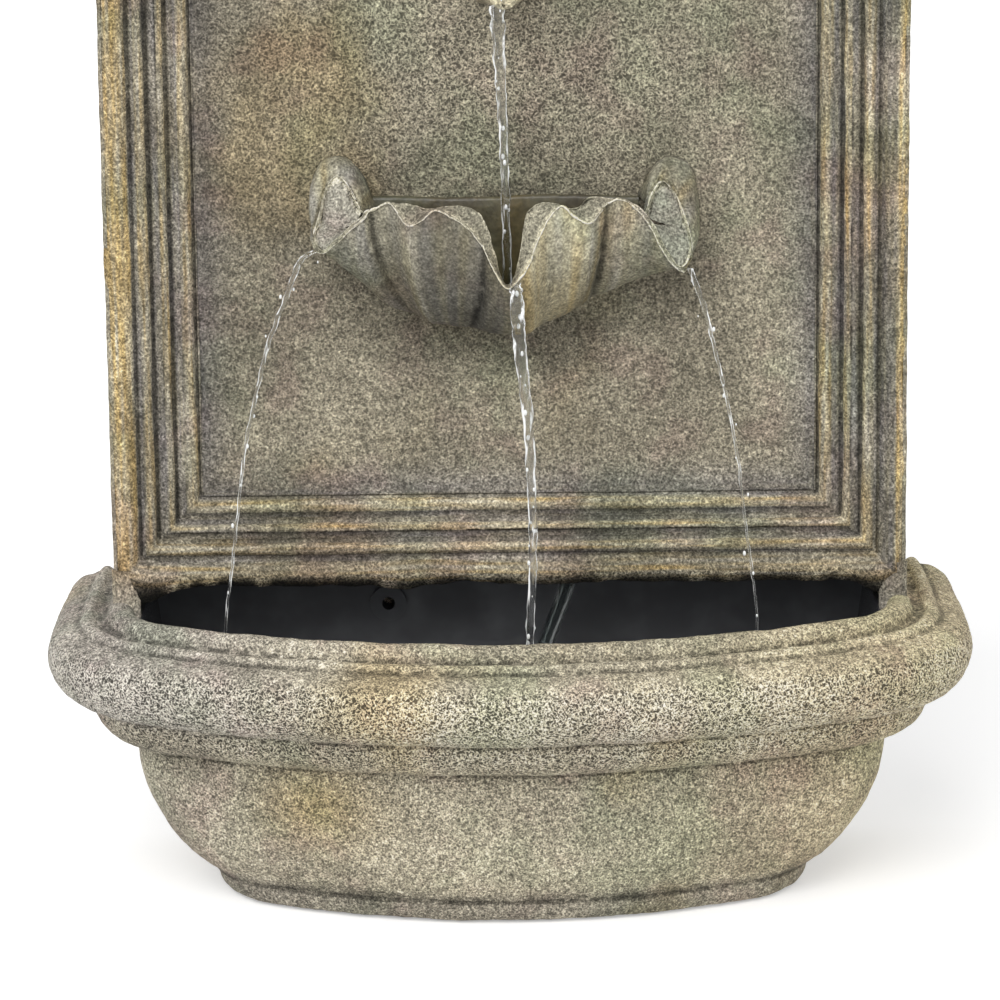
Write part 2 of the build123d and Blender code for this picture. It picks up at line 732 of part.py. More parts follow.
def tube_path():
    """Route of the tube, each corner rounded as far as its two runs allow."""
    points = [Vector(*p) for p in tube_route]
    radii = []
    for before, corner, after in zip(points, points[1:], points[2:]):
        turn = (corner - before).get_angle(after - corner)
        run = min((corner - before).length, (after - corner).length)
        radii.append(0.45 * run / tan(radians(turn / 2)))
    print("tube radii:", [round(r) for r in radii])
    return FilletPolyline(*points, radius=radii)


def make_tube():
    """Clear tube from the pump's nozzle to the spout elbow."""
    path = tube_path()
    start = Plane(origin=path @ 0, z_dir=path % 0)
    return sweep(start * (Circle(tube_outer) - Circle(tube_bore)), path=path)


def make_elbow():
    """Elbow that carries the water through the field to the spout."""
    low = elbow_low + fit_gap
    bend = Vector(0, elbow_y, spout_z - elbow_radius)
    out = Vector(0, elbow_y - elbow_radius, spout_z)
    turn = elbow_radius * cos(radians(45))
    path = Wire([
        Line(Vector(0, elbow_y, low), bend),
        ThreePointArc(bend, Vector(0, elbow_y - elbow_radius + turn, spout_z - elbow_radius + turn), out),
        Line(out, Vector(0, field_y - spout_reach * 0.45, spout_z)),
    ])
    start = Plane(origin=(0, elbow_y, low), z_dir=(0, 0, 1))
    pipe = sweep(start * Circle(elbow_outer), path=path) - sweep(start * Circle(barb_bore), path=path)
    stem = rod(barb_radius, low - barb_length, low, 0, elbow_y)
    for step in range(3):
        z = low - elbow_straight - barb_pitch * (step + 0.3)
        stem += Pos(0, elbow_y, z) * Cone(tube_bore - 0.06, barb_radius - 0.15, 0.7 * barb_pitch)
    stem -= rod(barb_bore, low - barb_length - 1, low + 1, 0, elbow_y)
    return pipe + stem


def make_clamp(z, x, y):
    """Spring band round the tube, with two raised ears."""
    inner, outer = tube_outer + fit_gap, tube_outer + fit_gap + clamp_thickness
    band = rod(outer, z - clamp_width / 2, z + clamp_width / 2, x, y)
    half = clamp_slit + clamp_thickness
    band += block(x - half, x + half, y + outer - clamp_thickness / 2, y + outer + clamp_ear,
                  z - clamp_width / 2, z + clamp_width / 2)
    far = y + outer + 2 * clamp_ear
    band -= block(x - clamp_slit, x + clamp_slit, y, far, z - clamp_width, z + clamp_width)
    return band - rod(inner, z - clamp_width, z + clamp_width, x, y)


def make_clips():
    """Saddles that hold the tube to the back of the field, each at the middle of a run."""
    made = []
    behind = block(-panel_half_width, panel_half_width, field_y + panel_wall, 0, 0, overall_height)
    for index in (4, 6):
        a, b = Vector(*tube_route[index]), Vector(*tube_route[index + 1])
        place = Plane(origin=(a + b) * 0.5, x_dir=(1, 0, 0), z_dir=(b - a).normalized())
        saddle = Box(2 * (tube_outer + clip_side), 3 * tube_outer + clip_side, clip_width)
        saddle = place * (Pos(0, 1.5 - tube_outer, 0) * saddle)
        saddle -= place * Cylinder(tube_outer + fit_gap, 4 * clip_width)
        made.append(saddle & behind)
    return made


# ---------------------------------------------------------------- pump, drawn in its own frame
def rounded_box(width, height, z0, z1, corner):
    """Box with rounded long edges, along the pump's shaft."""
    return extrude(Pos(0, 0, z0) * RectangleRounded(width, height, corner), z1 - z0)


def make_housing():
    """Motor housing with a spigot, the rotor's well and a pocket for the stator."""
    body = rounded_box(pump_width, pump_height, -pump_length, 0, pump_corner)
    body = fillet(body.edges().group_by(Axis.Z)[0], pump_rounding)
    inner = skirt_wall + skirt_gap
    width, height = pump_width - 2 * inner, pump_height - 2 * inner
    body += rounded_box(width, height, 0, spigot_length, pump_corner - inner)
    width, height, corner = pocket
    hollow = rounded_box(width, height, -pump_length - 1, -motor_front, corner)
    body -= hollow - rod(well_radius + well_wall, -well_depth - well_wall, 0)
    body -= rod(well_radius, -well_depth, spigot_length + 1)
    body -= rod(volute_radius + fit_gap, 0, spigot_length + 1)
    half = outlet_radius + 2 * fit_gap
    body -= block(outlet_x - half, outlet_x + half, 0, pump_height, 0, spigot_length + 1)
    return body - ring(chamber_radius + seal_offset, seal_thickness + seal_squeeze, 0)


def ring(radius, thickness, z):
    """Torus round the shaft."""
    return Pos(0, 0, z) * Torus(radius, thickness)


def make_stator():
    """Laminated core round the rotor's well."""
    width, height, corner = core
    front = -motor_front - 1
    stack = rounded_box(width, height, front - core_length, front, corner)
    return stack - rod(well_radius + well_wall + core_gap, 2 * front - core_length, 0)


def make_coils():
    """Two coils on the core's legs."""
    width, height, length, corner = coil
    low = well_radius + well_wall + 3 * core_gap
    front = -motor_front - 1 - core_length - seat_gap
    bobbin = block(low, low + width, -height / 2, height / 2, front - length, front)
    bobbin = fillet(bobbin.edges().filter_by(Axis.Y), corner)
    return [bobbin, mirror(bobbin, about=Plane.YZ)]


def make_potting():
    """Sealing plate that closes the stator's pocket."""
    width, height, corner = pocket
    width, height = width - 2 * fit_gap, height - 2 * fit_gap
    plate = rounded_box(width, height, -pump_length, potting_thickness - pump_length, corner - fit_gap)
    return plate - rod(gland_radius + fit_gap, -pump_length - 1, 0, 0, -gland_drop)


def make_gland():
    """Cable gland in the sealing plate: only its socket, with no cable."""
    rear = -pump_length - gland_length / 2
    gland = rod(gland_radius, rear, rear + gland_length, 0, -gland_drop)
    return gland - rod(gland_bore, rear - 1, rear + 0.7 * gland_length, 0, -gland_drop)


def make_volute():
    """Chamber cover with the suction eye, a three-arm bearing and the outlet socket."""
    body = rod(volute_radius, 0, chamber_depth + volute_front)
    upright = Pos(outlet_x, outlet_top / 2, outlet_level) * Rot(90, 0, 0)
    tower = upright * Cylinder(outlet_radius, outlet_top)
    tower &= block(-pump_width, pump_width, 0, pump_width, pilot_gap, pump_width)
    body = body + tower - rod(chamber_radius, -1, chamber_depth)
    throat = Pos(outlet_x, outlet_top, outlet_level) * Rot(90, 0, 0)
    body -= throat * Cylinder(barb_radius + fit_gap, 2 * outlet_top - 2 * hub_radius)
    eye = rod(eye_radius, chamber_depth - 1, run_out) - rod(hub_radius, 0, run_out)
    for step in range(arm_count):
        arm = block(0, 2 * eye_radius, -arm_width / 2, arm_width / 2, 0, run_out)
        eye -= Rot(0, 0, 360 / arm_count * step + 30) * arm
    return body - eye - rod(bush_radius + shaft_gap, chamber_depth - 1, run_out)


def make_nozzle():
    """Barbed outlet adapter in the volute's socket, along the pump's y."""
    place = Pos(outlet_x, 0, outlet_level) * Rot(-90, 0, 0)
    body = rod(barb_radius, outlet_top - barb_length * 0.7, outlet_top + collar + barb_length)
    body += rod(outlet_radius - 1, outlet_top + pilot_gap, outlet_top + collar)
    for step in range(3):
        low = outlet_top + 2 * collar + barb_pitch * step
        body += rod(tube_bore - 0.06, low, low + 0.3 * barb_pitch)
    return place * (body - rod(barb_bore, 0, 2 * outlet_top + barb_length))


def make_bushes():
    """Rubber bushes at the two ends of the shaft."""
    rear = rod(4.0, -well_depth, -well_depth + 3) - rod(shaft_radius + shaft_gap, -well_depth + 0.8, 0)
    front = rod(bush_radius, chamber_depth + 0.1, chamber_depth + volute_front)
    return [rear, front - rod(shaft_radius + shaft_gap, 0, chamber_depth + volute_front - 0.6)]


def make_impeller():
    """Disc with straight blades."""
    wheel = rod(rotor_radius, -1, 0.6) + rod(hub_radius, 0, blade_height)
    for step in range(blade_count):
        blade = block(0, blade_radius, -blade_thickness / 2, blade_thickness / 2, 0.3, blade_height)
        wheel += Rot(0, 0, 360 / blade_count * step + 20) * blade
    return wheel - rod(shaft_radius + shaft_gap, -5, 20)


def dial_windows(radius, sweep_angle):
    """Two sector windows through the front wall or the dial."""
    made = []
    for side in (0, 180):
        sector = Circle(radius - dial_ring) - Circle(dial_axle + dial_ring)
        reach, rise = 2 * radius, 2 * radius * tan(radians(sweep_angle / 2))
        wedge = make_face(Polyline([(0, 0), (reach, rise), (reach, -rise), (0, 0)]))
        made.append(Rot(0, 0, side) * extrude(sector & wedge, 2 * run_out))
    return made[0] + made[1]


def make_strainer():
    """Front cover of the pump: a skirt over the spigot and a slotted front wall."""
    length = strainer_length
    cup = rounded_box(pump_width, pump_height, skirt_gap, length, pump_corner)
    cup = fillet(cup.edges().group_by(Axis.Z)[-1], strainer_rounding)
    width, height = pump_width - 2 * skirt_wall, pump_height - 2 * skirt_wall
    cup -= rounded_box(width, height, 0, length - strainer_front, pump_corner - skirt_wall)
    half = outlet_radius + 0.8
    cup -= block(outlet_x - half, outlet_x + half, 0, pump_height, 0, outlet_level + half)
    for side in (-1, 1):
        for step in range(2):
            x = side * (dial_radius + 3.2 + slot_pitch * step)
            slot = Box(slot_width, slot_height, 2 * strainer_front)
            cup -= Pos(x, 0, length - strainer_front / 2) * slot
    cup -= rod(dial_axle + 0.06, length - 5, length + 1)
    return cup - Pos(0, 0, length - 5) * dial_windows(dial_radius, window_angle)


def make_foam():
    """Foam pre-filter inside the front cover."""
    inner = skirt_wall + foam_gap
    behind_dial = strainer_length - strainer_front - dial_gap - dial_head[1] - 3 * foam_gap
    front_of_volute = chamber_depth + volute_front + foam_gap
    width, height = pump_width - 2 * inner, pump_height - 2 * inner
    return rounded_box(width, height, front_of_volute, behind_dial, pump_corner - inner)


def make_dial():
    """Flow dial: a windowed disc with a grip, an axle and a retaining head inside."""
    length = strainer_length
    disc = rod(dial_radius, length + dial_gap, length + dial_gap + dial_thickness)
    disc -= Pos(0, 0, length - 1) * dial_windows(dial_radius, dial_window_angle)
    grip_length, grip_width, grip_rise = dial_grip
    top = length + dial_gap + dial_thickness
    disc += Rot(0, 0, 90) * block(-grip_length / 2, grip_length / 2, -grip_width / 2, grip_width / 2,
                                  top - 0.5, top - 0.5 + grip_rise)
    head_radius, head_thickness = dial_head
    head_top = length - strainer_front - dial_gap
    disc += rod(dial_axle, head_top - head_thickness, length + 1)
    return disc + rod(head_radius, head_top - head_thickness, head_top)


def make_cups():
    """Four suction cups under the pump."""
    made = []
    for x in (-cup_spread_x, cup_spread_x):
        for z in cup_spread_y:
            rise = cup_height - cup_stem_length + pilot_gap
            cone = Cone(cup_radius, cup_stem, rise)
            cone -= Pos(0, 0, -cup_lip) * Cone(cup_radius, 0.8 * cup_stem, rise - 0.6)
            low = -pump_height / 2 - cup_height + rise / 2
            stem = rod(cup_stem, -pump_height / 2 - cup_stem_length, -pump_height / 2)
            cup = Pos(0, 0, low) * cone + stem
            made.append(Pos(x, 0, -z) * Rot(-90, 0, 0) * cup)
    return made


# ---------------------------------------------------------------- build and write
os.makedirs("parts", exist_ok=True)

export("basin", make_basin())
export("basin_liner", make_liner())
export("wall_panel", make_panel())
export("leaf_bowl", make_bowl())
export("rosette", make_rosette())
export("spout_leaf", make_spout())
export("rear_cover", make_cover())
export("cover_screws", *screws(boss_places(), cover_y))
export("access_door", make_door())
export("door_screws", *screws(door_places(), cover_y + door_thickness))
export("hanger_plate", make_hanger())
export("hanger_screws", *screws(hanger_places(), cover_y + hanger_thickness))
export("cable_grommet", make_grommet())
export("spout_elbow", make_elbow())
export("water_tube", make_tube())
export("tube_clamps",
       make_clamp(nozzle_z + clamp_on_nozzle, nozzle_x, nozzle_y),
       make_clamp(elbow_low - clamp_on_elbow, 0, elbow_y))
export("tube_clips", *make_clips())

for name, shapes in {
    "pump_housing": [make_housing()],
    "stator_core": [make_stator()],
    "stator_coils": make_coils(),
    "potting_seal": [make_potting()],
    "pump_cable_gland": [make_gland()],
    "chamber_seal": [
        ring(chamber_radius + seal_offset, seal_thickness, 0) & rod(volute_radius, -motor_front, 0),
    ],
    "volute_cover": [make_volute()],
    "outlet_nozzle": [make_nozzle()],
    "impeller_shaft": [rod(shaft_radius, -well_depth + 0.9, chamber_depth + volute_front - 0.7)],
    "shaft_bushes": make_bushes(),
    "rotor_magnet": [
        rod(rotor_radius, -1 - rotor_length, -1) - rod(shaft_radius + shaft_gap, -pump_length, 0),
    ],
    "impeller": [make_impeller()],
    "strainer_cover": [make_strainer()],
    "intake_foam": [make_foam()],
    "flow_dial": [make_dial()],
    "suction_cups": make_cups(),
}.items():
    export(name, *[pump * shape for shape in shapes])
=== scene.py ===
"""Garden wall fountain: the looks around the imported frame, in the frame's own axes."""
import logging
import math
from dataclasses import astuple, dataclass
from enum import Enum
from functools import partial
from typing import Any, Callable, Sequence

import bpy
import numpy as np
from mathutils import Matrix, Vector, noise


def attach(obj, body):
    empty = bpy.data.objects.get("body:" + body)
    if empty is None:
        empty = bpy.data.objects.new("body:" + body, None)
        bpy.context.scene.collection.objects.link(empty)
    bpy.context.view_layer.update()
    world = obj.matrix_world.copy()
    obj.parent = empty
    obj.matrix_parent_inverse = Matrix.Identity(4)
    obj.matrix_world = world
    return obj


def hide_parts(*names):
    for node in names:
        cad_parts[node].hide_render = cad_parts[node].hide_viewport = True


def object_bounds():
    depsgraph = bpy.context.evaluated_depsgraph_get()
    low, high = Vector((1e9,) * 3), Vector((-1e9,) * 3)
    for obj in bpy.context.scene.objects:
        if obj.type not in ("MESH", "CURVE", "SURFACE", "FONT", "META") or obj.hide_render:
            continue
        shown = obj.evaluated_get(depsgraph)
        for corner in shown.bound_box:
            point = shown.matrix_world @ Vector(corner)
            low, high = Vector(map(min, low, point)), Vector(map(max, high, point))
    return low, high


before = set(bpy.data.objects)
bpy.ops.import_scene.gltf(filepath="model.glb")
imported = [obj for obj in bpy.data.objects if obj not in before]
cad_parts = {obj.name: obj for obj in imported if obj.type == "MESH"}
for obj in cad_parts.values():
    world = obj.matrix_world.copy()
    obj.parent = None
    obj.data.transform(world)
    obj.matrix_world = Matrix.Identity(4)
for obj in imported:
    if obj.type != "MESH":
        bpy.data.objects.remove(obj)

log = logging.getLogger("fountain")

MM = 0.001
CAD_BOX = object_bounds()
WALL_Y = CAD_BOX[1].y  # the wall plane; drawings below count y from it, negative to the front
ROOT = "fountain"
STONE_VALUES = ("hollow", "coarse", "tone", "warm")  # what the stone finish reads at each point

Object = bpy.types.Object
NodeTree = bpy.types.NodeTree
Node = bpy.types.Node
Links = dict[int | str, Any]  # a node's input, by name or number, to a value, a socket or a node
Adder = Callable[..., Node]  # adds a node to the tree at hand


# ---------------------------------------------------------------- small helpers
def placed(points: np.ndarray | Sequence[float]) -> np.ndarray:
    """Turns drawing points into frame points.

    Args:
        points: Millimetres, with the wall at y = 0.

    Returns:
        Metres in the frame.
    """
    return np.asarray(points, float) * MM + np.array([0.0, WALL_Y, 0.0])


def linear(code: str) -> tuple[float, float, float, float]:
    """Turns an sRGB hex colour into linear values.

    Args:
        code: Such as "#B8AA88".

    Returns:
        Linear red, green, blue and an alpha of 1.
    """
    parts = [int(code[i : i + 2], 16) / 255 for i in (1, 3, 5)]
    red, green, blue = [p / 12.92 if p <= 0.04045 else ((p + 0.055) / 1.055) ** 2.4 for p in parts]
    return red, green, blue, 1.0


def shaded(code: str, factor: float, lift: float = 0.0) -> tuple[float, float, float, float]:
    """Linear colour of a hex code, made lighter or darker by a factor and a lift."""
    red, green, blue = [min(1.0, part * factor + lift) for part in linear(code)[:3]]
    return red, green, blue, 1.0


def per_mm(size: float) -> float:
    """Noise scale, in cells a metre, for cells of a size in millimetres."""
    return 1.0 / (size * MM)


def circle(count: int) -> np.ndarray:
    """Even angles of a full turn, the first one not repeated."""
    return np.linspace(0, 2 * math.pi, count, endpoint=False)


def joined(*parts: Any) -> np.ndarray:
    """Puts coordinates together as points; each is an array or one number."""
    return np.stack(np.broadcast_arrays(*parts), -1)


def through(points: Sequence[Sequence[float]], count: int) -> np.ndarray:
    """Smooth line through control points (Catmull-Rom), with the same number of steps in each span.

    Args:
        points: Control points of any dimension.
        count: Steps in each span.

    Returns:
        The sampled points, the last control point included.
    """
    p = np.asarray(points, float)
    ends = np.vstack([2 * p[0] - p[1], p, 2 * p[-1] - p[-2]])
    t = (np.arange(count) / count)[:, None]
    spans = []
    for a, b, c, d in zip(ends, ends[1:], ends[2:], ends[3:]):
        square = 2 * a - 5 * b + 4 * c - d
        cube = 3 * b - a - 3 * c + d
        spans.append(0.5 * (2 * b + (c - a) * t + square * t**2 + cube * t**3))
    return np.vstack(spans + [p[-1:]])


def arc(start: Sequence[float], middle: Sequence[float], end: Sequence[float], count: int) -> np.ndarray:
    """Circular arc through three points of a section, without its end.

    Args:
        start: First point.
        middle: A point on the arc.
        end: Last point, left out.
        count: Number of points.

    Returns:
        The sampled points.
    """
    (ax, ay), (bx, by), (cx, cy) = start, middle, end
    a, b, c = [x * x + y * y for x, y in (start, middle, end)]
    d = 2 * (ax * (by - cy) + bx * (cy - ay) + cx * (ay - by))
    ux = (a * (by - cy) + b * (cy - ay) + c * (ay - by)) / d
    uy = (a * (cx - bx) + b * (ax - cx) + c * (bx - ax)) / d
    first, mid, last = [math.atan2(y - uy, x - ux) for x, y in (start, middle, end)]
    sweep = (last - first) % (2 * math.pi)
    if (mid - first) % (2 * math.pi) > sweep:
        sweep -= 2 * math.pi
    radius = math.hypot(ax - ux, ay - uy)
    angles = first + sweep * np.arange(count) / count
    return joined(ux + radius * np.cos(angles), uy + radius * np.sin(angles))


def hollowness(section: np.ndarray, reach: float) -> np.ndarray:
    """How far each point of a section lies below its neighbours, in millimetres.

    Args:
        section: Points of the section; its outside is on the left of its direction.
        reach: Distance along the section at which the neighbours are taken.

    Returns:
        Positive in grooves and negative on crests.
    """
    steps = np.linalg.norm(np.diff(section, axis=0), axis=1)
    along = np.concatenate([[0.0], np.cumsum(steps)])
    places = along + reach, along - reach
    ahead, behind = [joined(*[np.interp(place, along, part) for part in section.T]) for place in places]
    run = ahead - behind
    length = np.maximum(np.linalg.norm(run, axis=1), 1e-6)[:, None]
    normal = joined(-run[:, 1], run[:, 0]) / length
    return (((ahead + behind) / 2 - section) * normal).sum(1)


def ramp(value: np.ndarray, low: float, high: float) -> np.ndarray:
    """Smooth step of values from 0 at low to 1 at high."""
    share = np.clip((value - low) / (high - low), 0, 1)
    return share * share * (3 - 2 * share)


def hill(value: np.ndarray, middle: float, width: float) -> np.ndarray:
    """Bell of height 1 at the middle, down to about a third at one width."""
    return np.exp(-(((value - middle) / width) ** 2))


def lumps(points: np.ndarray, size: float, octaves: int, seed: float) -> np.ndarray:
    """Fractal noise at each point.

    Args:
        points: Millimetres, any shape ending in 3.
        size: Size of the largest lumps, in millimetres.
        octaves: How many finer layers are added.
        seed: Offset that makes one surface differ from another.

    Returns:
        Values of about -1 to 1, shaped as the points.
    """
    roughness, step = 0.9, 2.1
    flat = points.reshape(-1, 3) / size + seed
    values = [noise.fractal(Vector(p), roughness, step, octaves) for p in flat]
    return np.array(values).reshape(points.shape[:-1])


# ---------------------------------------------------------------- surfaces
@dataclass
class Surface:
    """Grid of points in millimetres, and what the stone finish reads at each of them."""

    points: np.ndarray
    hollow: np.ndarray | float = 0.0  # 1 in grooves, -1 on crests
    coarse: np.ndarray | float = 0.0  # 0 fine grain, 1 deep pits between raised veins
    tone: np.ndarray | float = 0.0  # natural log of how much lighter the stone is
    warm: np.ndarray | float = 0.0  # 1 ochre, -1 blue-grey
    closed: bool = False  # whether the last column joins the first
    capped: bool = False  # whether the last row is filled
    ends_from: int | None = None  # row from which the two end columns are joined by a flat end

    def normals(self) -> np.ndarray:
        """Unit normals, from the neighbours along rows and columns."""
        across = np.gradient(self.points, axis=1)
        if self.closed:
            across = (np.roll(self.points, -1, 1) - np.roll(self.points, 1, 1)) / 2
        normal = np.cross(across, np.gradient(self.points, axis=0))
        return normal / np.maximum(np.linalg.norm(normal, axis=2, keepdims=True), 1e-9)

    def roughened(
        self, size: float, depth: float, seed: float, octaves: int = 3, sink: float = 0.5
    ) -> "Surface":
        """Worn and hand-finished unevenness.

        Args:
            size: Size of the lumps, in millimetres.
            depth: Height of the lumps, in millimetres.
            seed: Offset of the noise.
            octaves: Layers of finer noise.
            sink: Share of the depth by which the whole surface is sunk.

        Returns:
            The surface itself.
        """
        shift = (lumps(self.points, size, octaves, seed) * 0.5 - sink) * depth
        self.points = self.points + self.normals() * shift[..., None]
        return self

    def values(self, name: str) -> np.ndarray:
        """One of the values that the finish reads, for each point in order."""
        return np.broadcast_to(getattr(self, name), self.points.shape[:2]).ravel()

    def faces(self, start: int) -> list[list[int]]:
        """Faces of the grid, numbered from a start, with its cap and its flat end."""
        rows, columns = self.points.shape[:2]
        number = start + np.arange(rows * columns).reshape(rows, columns)
        if self.closed:
            number = np.hstack([number, number[:, :1]])
        corners = [number[:-1, :-1], number[:-1, 1:], number[1:, 1:], number[1:, :-1]]
        faces = np.stack([c.ravel() for c in corners], 1).tolist()
        if self.capped:
            faces.append(number[-1, :columns].tolist())
        if self.ends_from is not None:
            ends = number[self.ends_from :, 0], number[self.ends_from :, -1][::-1]
            faces.append(np.concatenate(ends).tolist())
        return faces


def mesh_object(
    name: str,
    points: np.ndarray,
    faces: Sequence[Sequence[int]] = (),
    edges: Sequence[Sequence[int]] = (),
) -> Object:
    """Makes a smooth mesh object at the origin.

    Args:
        name: Its name.
        points: Metres in the frame.
        faces: Corner numbers of each face.
        edges: End numbers of each loose edge.

    Returns:
        The new object.
    """
    mesh = bpy.data.meshes.new(name)
    mesh.from_pydata(points.tolist(), edges, faces)
    mesh.polygons.foreach_set("use_smooth", [True] * len(mesh.polygons))
    mesh.validate()
    made = bpy.data.objects.new(name, mesh)
    bpy.context.scene.collection.objects.link(made)
    return made


def skin(name: str, surfaces: Sequence[Surface], finish: "Finish") -> Object:
    """Joins surfaces into one dressed object that carries the finish's values.

    Args:
        name: Its name.
        surfaces: Grids that make it up.
        finish: Its finish.

    Returns:
        The new object.
    """
    starts = np.cumsum([0] + [s.points.shape[0] * s.points.shape[1] for s in surfaces])
    points = np.vstack([s.points.reshape(-1, 3) for s in surfaces])
    faces = [face for s, start in zip(surfaces, starts) for face in s.faces(int(start))]
    made = mesh_object(name, placed(points), faces)
    for key in STONE_VALUES:
        values = np.concatenate([s.values(key) for s in surfaces]).astype(np.float32)
        made.data.attributes.new(key, "FLOAT", "POINT").data.foreach_set("value", values)
    made.data.materials.append(finish.material())
    log.info("%s: %d faces", name, len(made.data.polygons))
    return made


def settle(piece: Object, *replaced: str) -> None:
    """Lets a stone piece ride on the fountain.

    Args:
        piece: The finished piece.
        replaced: CAD nodes that it stands for.
    """
    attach(piece, ROOT)
    if replaced:
        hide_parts(*replaced)


# ---------------------------------------------------------------- finishes
MATH = "ShaderNodeMath"
MIX = "ShaderNodeMix"
NOISE = "ShaderNodeTexNoise"
RANGE = "ShaderNodeMapRange"
MAPPING = "ShaderNodeMapping"
BUMP = "ShaderNodeBump"


def feed(target: Node, links: Links) -> None:
    """Sets a node's inputs, or links each to a socket or to another node's first output."""
    for key, value in links.items():
        if isinstance(value, Node):
            value = value.outputs[0]
        if isinstance(value, bpy.types.NodeSocket):
            target.id_data.links.new(value, target.inputs[key])
        else:
            target.inputs[key].default_value = value


def node(tree: NodeTree, kind: str, links: Links | None = None, **settings: Any) -> Node:
    """Adds a node with its settings, values and links.

    Args:
        tree: Tree that it goes into.
        kind: Type of node.
        links: What goes into its inputs.
        settings: Properties of the node.

    Returns:
        The new node.
    """
    made = tree.nodes.new(kind)
    for key, value in settings.items():
        setattr(made, key, value)
    feed(made, links or {})
    return made


def cloud(at: Any, size: float, start: float, detail: float = 3.0, **more: float) -> Links:
    """Inputs of a noise in four dimensions, with lumps of a size in millimetres."""
    return {"Vector": at, "W": start, "Scale": per_mm(size), "Detail": detail} | more


@dataclass(frozen=True)
class Finish:
    """Base of all finishes: one material, made once."""

    name: str

    def material(self) -> bpy.types.Material:
        """Returns the material, making it the first time."""
        found = bpy.data.materials.get(self.name)
        if found:
            return found
        made = bpy.data.materials.new(self.name)
        made.use_nodes = True
        made.node_tree.nodes.clear()
        add = partial(node, made.node_tree)
        shader = add("ShaderNodeBsdfPrincipled")
        add("ShaderNodeOutputMaterial", {0: shader})
        at = add("ShaderNodeTexCoord").outputs["Object"]
        feed(shader, self.dress(add, at))
        return made

    def dress(self, add: Adder, at: Any) -> Links:
        """Makes the pattern.

        Args:
            add: Adds a node to the material.
            at: Socket with the place on the piece, in metres.

        Returns:
            Values and links of the shader's inputs.
        """
        raise NotImplementedError


